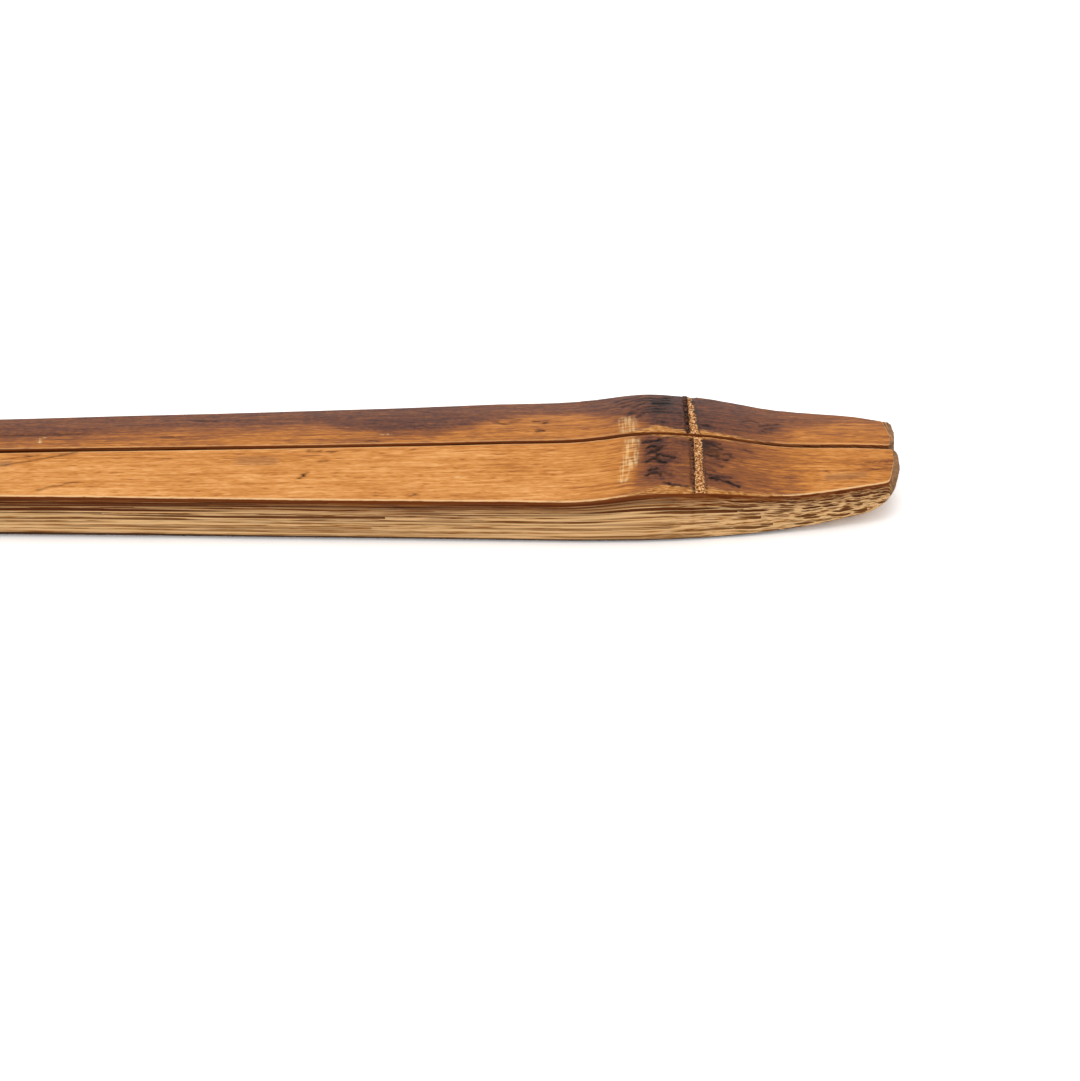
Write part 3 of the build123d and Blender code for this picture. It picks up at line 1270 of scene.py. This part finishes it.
@dataclass(frozen=True)
class CutFinish:
    """The sawn and brushed sides, with their fibre bundles laid open.

    A slope that is named depth runs over the distance below the skin's edge, in millimetres. The
    tail is the boat-shaped end, and hair the finest lines between the bundles.
    """

    ground: tuple[tuple[float, Screen], ...] = (
        (0.36, (110, 56, 12)),
        (0.43, (166, 106, 46)),
        (0.5, (212, 156, 94)),
        (0.59, (244, 198, 146)),
    )
    fine: Grain = Grain(24.0, 0.15, 3.0)
    patches: Grain = Grain(14.0, 1.3)
    patch_share: float = 0.25
    tail: Slope = Slope(98.0, 108.0)
    blush: Tint = Tint((176, 136, 114), Slope(4.0, 1.6), Slope(0.5, 0.64, 0.22))
    shade: Tint = Tint((98, 44, 6), Slope(3.4, 0.6, 0.95), Slope(0.78, 0.54))
    shade_lost_at_tail: float = 0.45
    glow: Tint = Tint((150, 84, 20), Slope(0.1, 0.4), Slope(2.4, 0.8, 0.45))
    hair: Grain = Grain(15.0, 0.15, 1.0)
    pale_hair: Tint = Tint((250, 202, 142), Slope(0.8, 3.2, 0.8), Slope(0.44, 0.38))
    dark_hair: Slope = Slope(0.53, 0.58)
    dark_hair_depth: Slope = Slope(5.0, 2.0, 0.9)
    core: Screen = (92, 38, 2)
    low_core: Screen = (126, 78, 34)
    core_depth: Slope = Slope(1.4, 4.6)
    furrow_depth: float = 1.5
    wide_depth: Slope = Slope(0.5, 1.5)
    close_depth: Slope = Slope(3.4, 1.2, 0.55)
    close_least: float = 0.45
    close_shortness: float = 1.3
    close_pitch: float = 0.36
    fading_depth: Slope = Slope(2.4, 4.2)
    fading_shaft: Slope = Slope(104.0, 94.0, 0.55)
    # The lips' colour: the bundles' pale sheath, painted only below each core as a highlight.
    lip: Screen = (250, 202, 142)
    lip_depth: Slope = Slope(0.6, 3.2, 0.75)
    lip_at_tail: float = 0.3
    lip_least: float = 0.12
    band: Tint = Tint((112, 50, 6), Slope(0.13, 0.2), Slope(0.8, 0.36, 0.9))
    end: Screen = (134, 98, 68)
    end_light: Screen = (164, 122, 86)
    end_grain: Grain = Grain(0.4, 0.3)
    end_mottling: Slope = Slope(0.3, 0.7)
    end_starts: Slope = Slope(118.8, 119.3)
    # Painted shade on the eased lower edge, which faces the table: its colour and where it starts.
    foot: Screen = (72, 40, 18)
    foot_shade_starts: Slope = Slope(0.1, 0.35, 0.95)
    roughness: float = 0.7

    def dress(self, nodes: Nodes, fibre: Socket, border: Socket, eased: Socket) -> tuple[Socket, Socket]:
        """The cut sides with their bundles, their dark top edge, their end, and the painted shade of
        their eased foot.

        Args:
            nodes: The material's tree.
            fibre: The place among the fibres.
            border: The distance beyond the skin's edge.
            eased: How far down the eased lower edge the place lies.

        Returns:
            The colour and the height of the fine relief.
        """
        x, _, _ = nodes.parts(nodes.layer("spot"))
        colour, height = self.dress_wood(nodes, fibre, border, x)
        colour, height = self.dress_bundles(nodes, border, x, colour, height)
        colour = self.band.over(nodes, colour, border, border)
        mottling = self.end_mottling.over(nodes, self.end_grain.over(nodes, fibre))
        end = nodes.blend(mottling, linear(self.end), linear(self.end_light))
        colour = nodes.blend(self.end_starts.over(nodes, x), colour, end)
        # The eased foot is painted dark as its shade.
        return nodes.blend(self.foot_shade_starts.over(nodes, eased), colour, linear(self.foot)), height

    def cores(self, nodes: Nodes, border: Socket) -> Socket:
        """The colour of the bundles' cores, paler low down."""
        return nodes.blend(self.core_depth.over(nodes, border), linear(self.core), linear(self.low_core))

    def dress_wood(self, nodes: Nodes, fibre: Socket, border: Socket, x: Socket) -> tuple[Socket, Socket]:
        """The wood between the bundles, with fine pale and dark lines.

        Args:
            nodes: The material's tree.
            fibre: The place among the fibres.
            border: The distance beyond the skin's edge.
            x: The place along the stick.

        Returns:
            The colour and the height of the fine relief.
        """
        fine = self.fine.over(nodes, fibre)
        patches = self.patches.over(nodes, fibre)
        hair = self.hair.over(nodes, fibre)
        kept = nodes.math("MULTIPLY_ADD", self.tail.over(nodes, x), -self.shade_lost_at_tail, 1.0)
        colour = nodes.ramp(nodes.mix(self.patch_share, fine, patches), self.ground)
        colour = self.blush.over(nodes, colour, border, patches)
        colour = self.shade.over(nodes, colour, border, fine, kept)
        colour = self.glow.over(nodes, colour, border, border)
        colour = self.pale_hair.over(nodes, colour, border, hair)
        dark = nodes.times(self.dark_hair.over(nodes, hair), self.dark_hair_depth.over(nodes, border))
        colour = nodes.blend(dark, colour, self.cores(nodes, border))
        return colour, fine

    def dress_bundles(
        self, nodes: Nodes, border: Socket, x: Socket, colour: Socket, height: Socket
    ) -> tuple[Socket, Socket]:
        """The marks of the fibre bundles on the cut, close ones high up and wide ones lower down.

        Args:
            nodes: The material's tree.
            border: The distance beyond the skin's edge.
            x: The place along the stick.
            colour: The colour of the wood.
            height: The height of its fine relief.

        Returns:
            The colour and the height with the bundles.
        """
        marks = nodes.layer("marks")
        wide = Bundles.place(nodes, marks=marks)
        close = Bundles.place(nodes, marks=marks, shortness=self.close_shortness, pitch=self.close_pitch)
        deep = self.wide_depth.over(nodes, border)
        shallow = nodes.math("ADD", self.close_depth.over(nodes, border), self.close_least)
        lost = nodes.times(self.fading_depth.over(nodes, border), self.fading_shaft.over(nodes, x))
        kept = nodes.math("SUBTRACT", 1.0, lost)
        light = self.lip_depth.over(nodes, border)
        light = nodes.math("MULTIPLY_ADD", self.tail.over(nodes, x), self.lip_at_tail, light)
        light = nodes.math("ADD", light, self.lip_least, clamp=True)
        cores = self.cores(nodes, border)
        for bundles, here in ((close, shallow), (wide, deep)):
            # Pale lips painted below the cores as highlights, then the dark cores.
            colour = nodes.blend(nodes.times(bundles["Lip"], here, light), colour, linear(self.lip))
            core = nodes.times(bundles["Core"], here, kept)
            colour = nodes.blend(core, colour, cores)
            height = nodes.math("MULTIPLY_ADD", core, -self.furrow_depth, height)
        return colour, height


@dataclass(frozen=True)
class ScarFinish:
    """The grainy scar ring, the wood sanded bare beside it and the crevice painted black as its shade,
    all ragged.
    """

    grains: tuple[tuple[float, Screen], ...] = (
        (0.39, (92, 48, 22)),
        (0.46, (176, 112, 58)),
        (0.56, (222, 156, 94)),
        (0.64, (254, 210, 158)),
    )
    sanded: tuple[tuple[float, Screen], ...] = (
        (0.36, (140, 84, 38)),
        (0.46, (186, 122, 62)),
        (0.56, (210, 148, 84)),
        (0.68, (238, 184, 122)),
    )
    sanded_grain: Grain = Grain(0.8, 0.14, 3.0)
    # The crevice's near-black is painted shade, with paler flecks in it.
    crevice: Screen = (34, 14, 6)
    fleck: Screen = (116, 84, 66)
    flecks: Slope = Slope(0.5, 0.62)
    grit: Grain = Grain(0.22, 0.18)
    grit_height: float = 2.0
    fray: Grain = Grain(1.6, 0.25, 3.0)
    fray_of_skin: float = 0.12
    fray_of_sanding: float = 1.4
    teeth: Grain = Grain(0.8, 0.32)
    grit_in_teeth: float = 0.9
    teeth_of_ring: float = 0.7
    teeth_of_crevice: float = 0.8
    skin_ends: Slope = Slope(0.11, 0.17)
    sanding_starts: Slope = Slope(-0.25, 0.25)
    ring_starts: Slope = Slope(-0.04, 0.04)
    crevice_shade_starts: Slope = Slope(0.0, 0.08)
    # Where a ragged band just outside the scar ring is darkened.
    dark_ring_edge_starts: Slope = Slope(-0.42, -0.2)
    dark_ring_edge_grit: Slope = Slope(0.44, 0.52, 0.85)


@dataclass(frozen=True)
class Bamboo:
    """The whole finish of a stick: skin, cut sides and scar in one material."""

    name: str
    skin: SkinFinish = SkinFinish()
    cut: CutFinish = CutFinish()
    scar: ScarFinish = ScarFinish()
    relief_depth: float = 0.08
    sheen: float = 0.1

    def build(self) -> bpy.types.Material:
        """Makes the material.

        Returns:
            The material.
        """
        material = bpy.data.materials.new(self.name)
        material.use_nodes = True
        material.node_tree.nodes.clear()
        nodes = Nodes(material.node_tree)
        colour, rough, gloss, height = self.join(nodes, nodes.layer("fibre"))
        bump = nodes.add("ShaderNodeBump")
        nodes.put(bump.inputs["Strength"], 1.0)
        nodes.put(bump.inputs["Distance"], self.relief_depth * MM)
        nodes.put(bump.inputs["Height"], height)
        body = nodes.add("ShaderNodeBsdfPrincipled")
        nodes.put(body.inputs["Base Color"], colour)
        nodes.put(body.inputs["Roughness"], rough)
        nodes.put(body.inputs["Specular IOR Level"], self.sheen)
        nodes.put(body.inputs["Coat Weight"], gloss)
        nodes.put(body.inputs["Coat Roughness"], self.skin.gloss_roughness)
        nodes.put(body.inputs["Normal"], bump.outputs[0])
        nodes.put(nodes.add("ShaderNodeOutputMaterial").inputs["Surface"], body.outputs[0])
        return material

    def join(self, nodes: Nodes, fibre: Socket) -> tuple[Socket, Socket, Socket, Socket]:
        """Joins the skin, the bare wood, the cut sides, the scar and the crevice at ragged edges.

        Args:
            nodes: The material's tree.
            fibre: The place among the fibres.

        Returns:
            The colour, the roughness, the coat's weight and the height of the fine relief.
        """
        scar = self.scar
        border, sanded, eased = nodes.parts(nodes.layer("edges"))
        ring, cleft, smudge = nodes.parts(nodes.layer("node"))
        fray = scar.fray.swing(nodes, fibre)
        border = nodes.math("MULTIPLY_ADD", fray, scar.fray_of_skin, border)
        sanded = nodes.math("MULTIPLY_ADD", fray, scar.fray_of_sanding, sanded)
        grit = scar.grit.over(nodes, fibre)
        crumb = nodes.math("SUBTRACT", grit, 0.5)
        teeth = nodes.math("MULTIPLY_ADD", crumb, scar.grit_in_teeth, scar.teeth.swing(nodes, fibre))
        ring = nodes.math("MULTIPLY_ADD", teeth, scar.teeth_of_ring, ring)
        cleft = nodes.math("MULTIPLY_ADD", teeth, scar.teeth_of_crevice, cleft)

        skin, skin_height = self.skin.dress(nodes, fibre, border, smudge)
        cut, cut_height = self.cut.dress(nodes, fibre, border, eased)
        wood_height = scar.sanded_grain.over(nodes, fibre)
        wood = nodes.ramp(wood_height, scar.sanded)
        off_skin = scar.skin_ends.over(nodes, border)
        on_skin = nodes.math("SUBTRACT", 1.0, off_skin)
        bare = scar.sanding_starts.over(nodes, sanded)
        on_ring = nodes.times(scar.ring_starts.over(nodes, ring), on_skin)
        crevice_shade = nodes.times(scar.crevice_shade_starts.over(nodes, cleft), on_skin)
        # A ragged band just outside the scar ring is made darker, in the skin's second-darkest tone.
        dark_ring_edge = nodes.times(scar.dark_ring_edge_starts.over(nodes, ring), scar.dark_ring_edge_grit.over(nodes, grit))
        flecks = nodes.blend(scar.flecks.over(nodes, grit), linear(scar.crevice), linear(scar.fleck))
        colour = nodes.blend(bare, skin, wood)
        colour = nodes.blend(dark_ring_edge, colour, linear(self.skin.tones[-2][1]))
        colour = nodes.blend(off_skin, colour, cut)
        colour = nodes.blend(on_ring, colour, nodes.ramp(grit, scar.grains))
        # The crevice painted near-black as its shade.
        colour = nodes.blend(crevice_shade, colour, flecks)

        matt = nodes.most(bare, on_ring, crevice_shade)
        rougher = self.cut.roughness - self.skin.roughness
        rough = nodes.math("MULTIPLY_ADD", nodes.most(off_skin, matt), rougher, self.skin.roughness)
        scorch = nodes.parts(nodes.layer("paint"))[1]
        glossy = nodes.math("SUBTRACT", 1.0, nodes.most(matt, scorch))
        height = nodes.mix(bare, skin_height, wood_height)
        height = nodes.mix(off_skin, height, cut_height)
        height = nodes.mix(on_ring, height, nodes.times(grit, scar.grit_height))
        return colour, rough, nodes.times(on_skin, glossy, self.skin.gloss), height


@dataclass(frozen=True)
class PhotoCamera:
    """The camera of the photograph: a long lens that looks down across the pair."""

    azimuth: float = 0.92
    elevation: float = 40.0
    roll: float = -1.17
    distance: float = 503.8
    target: tuple[float, float, float] = (80.53, 0.0, -7.01)
    lens: float = 150.0
    sensor: float = 36.0
    nearest: float = 10.0

    def build(self) -> None:
        """Makes the camera and gives it to the scene."""
        turn, lift = math.radians(self.azimuth), math.radians(self.elevation)
        back = Vector((math.sin(turn) * math.cos(lift), -math.cos(turn) * math.cos(lift), math.sin(lift)))
        right = Vector((math.cos(turn), math.sin(turn), 0))
        data = bpy.data.cameras.new("photo_camera")
        data.lens = self.lens
        data.sensor_width = self.sensor
        data.clip_start = self.nearest * MM
        camera = bpy.data.objects.new("photo_camera", data)
        place = Matrix.Translation((Vector(self.target) + back * self.distance) * MM)
        level = Matrix((right, back.cross(right), back)).transposed().to_4x4()
        camera.matrix_world = place @ level @ Matrix.Rotation(math.radians(self.roll), 4, "Z")
        bpy.context.scene.collection.objects.link(camera)
        bpy.context.scene.camera = camera


@dataclass(frozen=True)
class Studio:
    """A white table under one broad lamp above the pair, in an even white room, in metres and watts."""

    table_size: float = 4.0
    table_white: float = 0.85
    table_glare: float = 0.54
    room: float = 0.8
    lamp_power: float = 2.6
    lamp_size: float = 0.6
    lamp_place: tuple[float, float, float] = (0.12, 0.0, 1.0)
    lamp_aim: tuple[float, float, float] = (0.08, 0.0, 0.0)

    def build(self) -> None:
        """Makes the table, the room and the lamp."""
        self.set_table()
        self.set_room()
        self.set_lamp()
        bpy.context.scene.view_settings.view_transform = "Standard"

    def set_table(self) -> None:
        """The white table top, which the camera sees brighter so that only the shadows show."""
        sheet = bmesh.new()
        bmesh.ops.create_grid(sheet, x_segments=1, y_segments=1, size=self.table_size)
        data = bpy.data.meshes.new("table_top")
        sheet.to_mesh(data)
        sheet.free()
        top = bpy.data.objects.new("table_top", data)
        material = bpy.data.materials.new("table_white")
        material.use_nodes = True
        material.node_tree.nodes.clear()
        nodes = Nodes(material.node_tree)
        white = nodes.add("ShaderNodeBsdfDiffuse")
        nodes.put(white.inputs["Color"], (self.table_white,) * 3 + (1.0,))
        extra = nodes.add("ShaderNodeBsdfDiffuse")
        seen = nodes.add("ShaderNodeLightPath").outputs["Is Camera Ray"]
        nodes.put(extra.inputs["Color"], nodes.math("MULTIPLY", seen, self.table_glare))
        both = nodes.add("ShaderNodeAddShader")
        nodes.put(both.inputs[0], white.outputs[0])
        nodes.put(both.inputs[1], extra.outputs[0])
        nodes.put(nodes.add("ShaderNodeOutputMaterial").inputs["Surface"], both.outputs[0])
        data.materials.append(material)
        bpy.context.scene.collection.objects.link(top)

    def set_room(self) -> None:
        """The even white room, which the camera and reflections see as plain white."""
        world = bpy.data.worlds.new("white_room")
        world.use_nodes = True
        world.node_tree.nodes.clear()
        bpy.context.scene.world = world
        nodes = Nodes(world.node_tree)
        rays = nodes.add("ShaderNodeLightPath").outputs
        seen = nodes.most(rays["Is Camera Ray"], rays["Is Glossy Ray"], rays["Is Transmission Ray"])
        light = nodes.add("ShaderNodeBackground")
        nodes.put(light.inputs["Color"], (1.0, 1.0, 1.0, 1.0))
        nodes.put(light.inputs["Strength"], nodes.math("MULTIPLY_ADD", seen, 1.0 - self.room, self.room))
        nodes.put(nodes.add("ShaderNodeOutputWorld").inputs["Surface"], light.outputs[0])

    def set_lamp(self) -> None:
        """The broad lamp above the pair."""
        data = bpy.data.lights.new("broad_lamp", "AREA")
        data.shape = "SQUARE"
        data.size = self.lamp_size
        data.energy = self.lamp_power
        lamp = bpy.data.objects.new("broad_lamp", data)
        place = Vector(self.lamp_place)
        aim = (Vector(self.lamp_aim) - place).to_track_quat("-Z", "Y").to_matrix().to_4x4()
        lamp.matrix_world = Matrix.Translation(place) @ aim
        bpy.context.scene.collection.objects.link(lamp)


FRONT_BURNS = (
    Burn(20.0, 0.27, 1.6, 0.15),
    Burn(44.0, 0.2, 2.4, 0.16),
    Burn(52.0, 0.22, 2.6, 0.16),
    Burn(60.0, 0.22, 1.6, 0.16),
    Burn(80.0, 0.22, 1.6, 0.18),
    Burn(88.0, 0.26, 2.0, 0.22),
    Burn(90.6, 0.3, 5.0, 0.3),
    Burn(91.6, 0.5, 6.0, 0.46),
    Burn(92.8, 0.58, 6.0, 0.54),
    Burn(94.0, 0.66, 5.4, 0.56),
    Burn(96.6, 0.64, 4.2, 0.52),
    Burn(98.4, 0.62, 3.0, 0.56),
    Burn(101.5, 0.56, 3.0, 0.5),
    Burn(105.0, 0.46, 2.6, 0.44),
    Burn(108.5, 0.34, 2.6, 0.38),
    Burn(112.0, 0.27, 4.0, 0.24),
    Burn(120.0, 0.32, 4.0, 0.28),
)
REAR_BURNS = (
    Burn(20.0, 0.45, 2.7, 0.63),
    Burn(32.0, 0.41, 3.0, 0.64),
    Burn(38.0, 0.37, 3.8, 0.64),
    Burn(57.0, 0.35, 4.0, 0.64),
    Burn(60.0, 0.36, 2.6, 0.66),
    Burn(64.0, 0.34, 1.8, 0.7),
    Burn(69.0, 0.34, 2.2, 0.7),
    Burn(73.0, 0.34, 3.4, 0.68),
    Burn(78.0, 0.32, 5.4, 0.62),
    Burn(84.0, 0.3, 5.4, 0.64),
    Burn(87.0, 0.3, 4.2, 0.68),
    Burn(90.6, 0.36, 3.0, 0.66),
    Burn(92.2, 0.5, 2.4, 0.64),
    Burn(93.4, 0.68, 2.0, 0.78),
    Burn(96.8, 0.76, 2.0, 0.8),
    Burn(98.4, 0.72, 2.0, 0.74),
    Burn(103.0, 0.6, 1.2, 0.7),
    Burn(106.0, 0.44, 1.9, 0.64),
    Burn(109.0, 0.3, 3.2, 0.56),
    Burn(113.0, 0.28, 4.2, 0.5),
    Burn(119.0, 0.34, 4.4, 0.46),
)
FRONT_STROKES = (
    Stroke(((92.0, 1.59), (92.9, 1.4), (93.6, 1.3), (94.1, 0.9)), 0.36),
    Stroke(((92.5, 2.41), (93.0, 2.2), (93.8, 2.4)), 0.42),
    Stroke(((92.9, 2.8), (93.7, 2.75), (94.0, 2.3)), 0.4, 0.9),
    Stroke(((92.6, 3.3), (93.3, 3.05), (93.8, 3.44), (94.5, 3.65), (95.4, 3.82)), 0.4),
    Stroke(((92.5, 4.5), (92.9, 4.15), (93.6, 4.05), (93.9, 4.5), (94.5, 4.66)), 0.42),
    Stroke(((93.5, 3.5), (93.6, 4.6)), 0.3, 0.8),
    Stroke(((92.6, 5.75), (93.2, 5.55), (93.8, 5.5)), 0.32, 0.9),
    Stroke(((92.3, 6.45), (92.8, 6.18), (93.5, 6.1), (93.9, 6.3)), 0.36, 0.9),
    Stroke(((94.3, 6.1), (95.0, 6.29)), 0.3, 0.6),
    Stroke(((94.2, 7.3), (95.1, 7.6), (96.4, 7.8), (97.2, 7.9)), 0.22, 0.9),
    Stroke(((98.8, 3.05), (99.3, 3.21), (100.2, 3.46), (101.2, 3.6)), 0.32, 0.85),
    Stroke(((98.7, 2.1), (99.3, 2.4), (100.0, 2.5)), 0.6, 0.55),
    Stroke(((100.1, 2.8), (100.9, 2.72), (101.6, 2.73)), 0.3, 0.7),
    Stroke(((101.4, 2.95), (102.3, 3.3), (103.0, 3.5)), 0.24, 0.5),
    Stroke(((98.9, 6.0), (99.6, 6.1), (101.6, 6.05)), 0.2, 0.6),
    Stroke(((99.3, 6.43), (100.3, 6.45), (101.4, 6.7), (102.4, 7.1)), 0.36),
    Stroke(((98.5, 0.9), (99.6, 1.1)), 0.5, 0.7),
    Stroke(((98.6, 1.6), (99.0, 2.0)), 0.5, 0.7),
    Stroke(((103.2, 1.57), (104.0, 1.91)), 0.18, 0.6),
    Stroke(((98.8, 1.3), (99.9, 1.6), (100.7, 2.1)), 0.34, 0.8),
    Stroke(((99.4, 0.8), (100.4, 1.2)), 0.3, 0.6),
    Stroke(((98.7, 2.6), (99.5, 2.8), (100.2, 3.1)), 0.34, 0.7),
    Stroke(((98.7, 4.2), (99.6, 4.3), (100.6, 4.6)), 0.26, 0.5),
    Stroke(((98.7, 5.2), (99.9, 5.4)), 0.24, 0.5),
    Stroke(((98.6, 1.87), (99.7, 2.0)), 0.3, 0.7),
    Stroke(((21.4, 1.36), (23.6, 1.18), (25.8, 0.86)), 0.16, 0.5),
    Stroke(((21.5, 2.44), (24.8, 1.76), (27.5, 1.08), (29.7, 0.46)), 0.18, 0.55),
    Stroke(((25.8, 6.06), (27.8, 5.49), (30.2, 5.05)), 0.18, 0.55),
    Stroke(((54.3, 5.11), (54.8, 4.7), (55.2, 4.06)), 0.24, 0.9),
    Stroke(((55.2, 0.73), (56.6, 0.86)), 0.22, 0.6),
    Stroke(((57.3, 1.03), (58.5, 0.95)), 0.2, 0.6),
    Stroke(((56.7, 2.5), (57.6, 2.4)), 0.2, 0.5),
    Stroke(((66.4, 7.62), (66.8, 7.45), (67.4, 7.45)), 0.22, 0.6),
    Stroke(((116.5, 2.63), (119.6, 2.33)), 0.12, 0.45),
    Stroke(((117.0, 3.71), (119.5, 3.38)), 0.12, 0.55),
    Stroke(((111.8, 3.99), (112.5, 4.27)), 0.16, 0.5),
    Stroke(((112.3, 5.0), (114.0, 4.8), (116.0, 4.5)), 0.9, 0.6, Mark.SMUDGE),
    Stroke(((21.0, 2.3), (22.4, 2.1)), 0.9, 0.7, Mark.SMUDGE),
    Stroke(((48.0, 2.2), (51.4, 2.3)), 1.4, 0.5, Mark.SMUDGE),
    Stroke(((71.5, 5.2), (71.65, 5.2)), 0.24, 1.0, Mark.SCUFF),
    Stroke(((90.8, 1.3), (90.6, 4.6)), 1.5, 0.85, Mark.SCUFF),
    Stroke(((90.3, 4.2), (89.8, 6.6)), 1.0, 0.75, Mark.SCUFF),
)
REAR_STROKES = (
    Stroke(((21.0, 2.87), (25.5, 2.83), (29.0, 2.87)), 0.2, 0.6),
    Stroke(((26.5, 2.97), (31.0, 2.96)), 0.2, 0.5),
    Stroke(((38.8, 2.1), (41.2, 1.97)), 0.22, 0.6),
    Stroke(((42.4, 5.5), (45.0, 5.31)), 0.25, 0.6),
    Stroke(((61.3, 0.7), (63.1, 0.82)), 0.2, 0.8),
    Stroke(((75.9, 3.86), (77.0, 3.43)), 0.25, 0.7),
    Stroke(((76.3, 4.86), (78.5, 4.45)), 0.25, 0.5),
    Stroke(((77.2, 3.85), (78.3, 3.92)), 0.2, 0.6),
    Stroke(((80.1, 4.0), (80.7, 3.93)), 0.25, 0.8),
    Stroke(((81.1, 3.59), (81.7, 3.78)), 0.25, 0.9),
    Stroke(((80.3, 1.86), (81.2, 2.04)), 0.26, 0.9),
    Stroke(((93.3, 5.93), (94.0, 6.0), (94.8, 6.13)), 0.42, 0.9),
    Stroke(((93.3, 4.73), (94.6, 4.89)), 0.34, 0.8),
    Stroke(((93.8, 5.46), (94.5, 5.72)), 0.22, 0.6),
    Stroke(((91.0, 5.2), (92.0, 5.9), (92.6, 6.4)), 0.3, 0.6),
    Stroke(((89.4, 6.3), (91.0, 6.9), (92.4, 7.3)), 0.24, 0.6),
    Stroke(((89.8, 5.5), (91.2, 6.3), (92.6, 6.9)), 0.24, 0.55),
    Stroke(((89.2, 7.1), (90.6, 7.5), (91.8, 7.8)), 0.24, 0.5),
    Stroke(((92.6, 7.4), (93.8, 7.2), (95.0, 7.4)), 0.32, 0.7),
    Stroke(((92.8, 6.6), (93.9, 6.6), (94.9, 6.9)), 0.3, 0.7),
    Stroke(((92.9, 5.2), (94.2, 5.4)), 0.3, 0.6),
    Stroke(((90.6, 3.6), (91.6, 4.3), (92.6, 4.6)), 0.24, 0.5),
    Stroke(((92.8, 4.0), (93.8, 4.2), (94.6, 4.1)), 0.28, 0.6),
    Stroke(((90.8, 4.1), (91.9, 4.9), (92.7, 5.2)), 0.32, 0.6),
    Stroke(((91.4, 3.0), (92.3, 3.9)), 0.34, 0.6),
    Stroke(((90.2, 3.4), (91.0, 3.9)), 0.24, 0.4),
    Stroke(((98.6, 1.89), (99.2, 1.8)), 0.36, 0.8),
    Stroke(((102.9, 3.52), (103.9, 4.08), (104.8, 3.94)), 0.2, 0.6),
    Stroke(((105.0, 3.15), (106.1, 3.69), (107.0, 3.94)), 0.25, 0.7),
    Stroke(((105.2, 2.24), (106.3, 2.11)), 0.25, 0.6),
    Stroke(((105.5, 2.81), (106.9, 3.13)), 0.3, 0.6),
    Stroke(((25.3, 2.29), (25.7, 1.16)), 0.14, 1.0, Mark.SCUFF),
    Stroke(((25.3, 2.0), (25.9, 2.4)), 0.14, 0.8, Mark.SCUFF),
    Stroke(((63.1, 1.95), (64.1, 1.99)), 0.16, 0.8, Mark.SCUFF),
    Stroke(((90.3, 2.6), (90.6, 0.6)), 1.7, 0.65, Mark.SCUFF),
)


FRONT_NODE = CulmNode(
    slant=0.01,
    crevice=(97.1, 97.38),
    scar_end=((0.0, 98.35), (4.0, 98.25), (8.0, 98.38)),
    sanded_outside=(
        (84.0, -0.3),
        (90.0, 0.0),
        (93.3, 0.9),
        (97.5, 0.6),
        (101.0, 0.35),
        (106.0, 0.0),
        (110.0, -0.3),
    ),
    sanded_inside=((86.0, -0.3), (91.0, -0.1), (94.0, 0.2), (99.0, 0.3), (103.0, 0.0), (107.0, -0.3)),
)
REAR_NODE = CulmNode(
    slant=0.02,
    crevice=(96.95, 97.36),
    scar_end=((0.0, 98.35), (3.0, 98.15), (6.0, 97.95), (8.0, 97.7)),
    sanded_outside=((80.0, -0.4), (100.0, -0.4)),
    sanded_inside=(
        (87.0, -0.3),
        (90.5, 0.3),
        (92.3, 0.9),
        (93.2, 1.3),
        (93.9, 1.0),
        (95.0, 0.7),
        (97.2, 0.4),
        (98.6, 0.7),
        (101.5, 0.35),
        (105.0, 0.0),
        (109.0, -0.3),
    ),
)


def main() -> None:
    """Builds the studio, the camera and the two sticks, and logs the face count of each stick."""
    logging.basicConfig(level=logging.INFO, format="%(message)s")
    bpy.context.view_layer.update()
    Studio().build()
    PhotoCamera().build()
    sticks = (
        Chopstick(
            name="front_stick",
            node="front_chopstick",
            lie=Lie.FRONT,
            lead=0.15,
            swelling=FRONT_NODE,
            heat=Heat(FRONT_BURNS, FRONT_STROKES),
            seed=40.5,
        ),
        Chopstick(
            name="rear_stick",
            node="rear_chopstick",
            lie=Lie.REAR,
            lead=-0.15,
            swelling=REAR_NODE,
            heat=Heat(REAR_BURNS, REAR_STROKES),
            seed=71.5,
            half_length=119.84,
        ),
    )
    bamboo = Bamboo("dark_bamboo").build()
    for stick in sticks:
        piece = stick.build(bamboo)
        LOG.info("%s: %d faces", piece.name, len(piece.data.polygons))


if __name__ == "__main__":
    main()
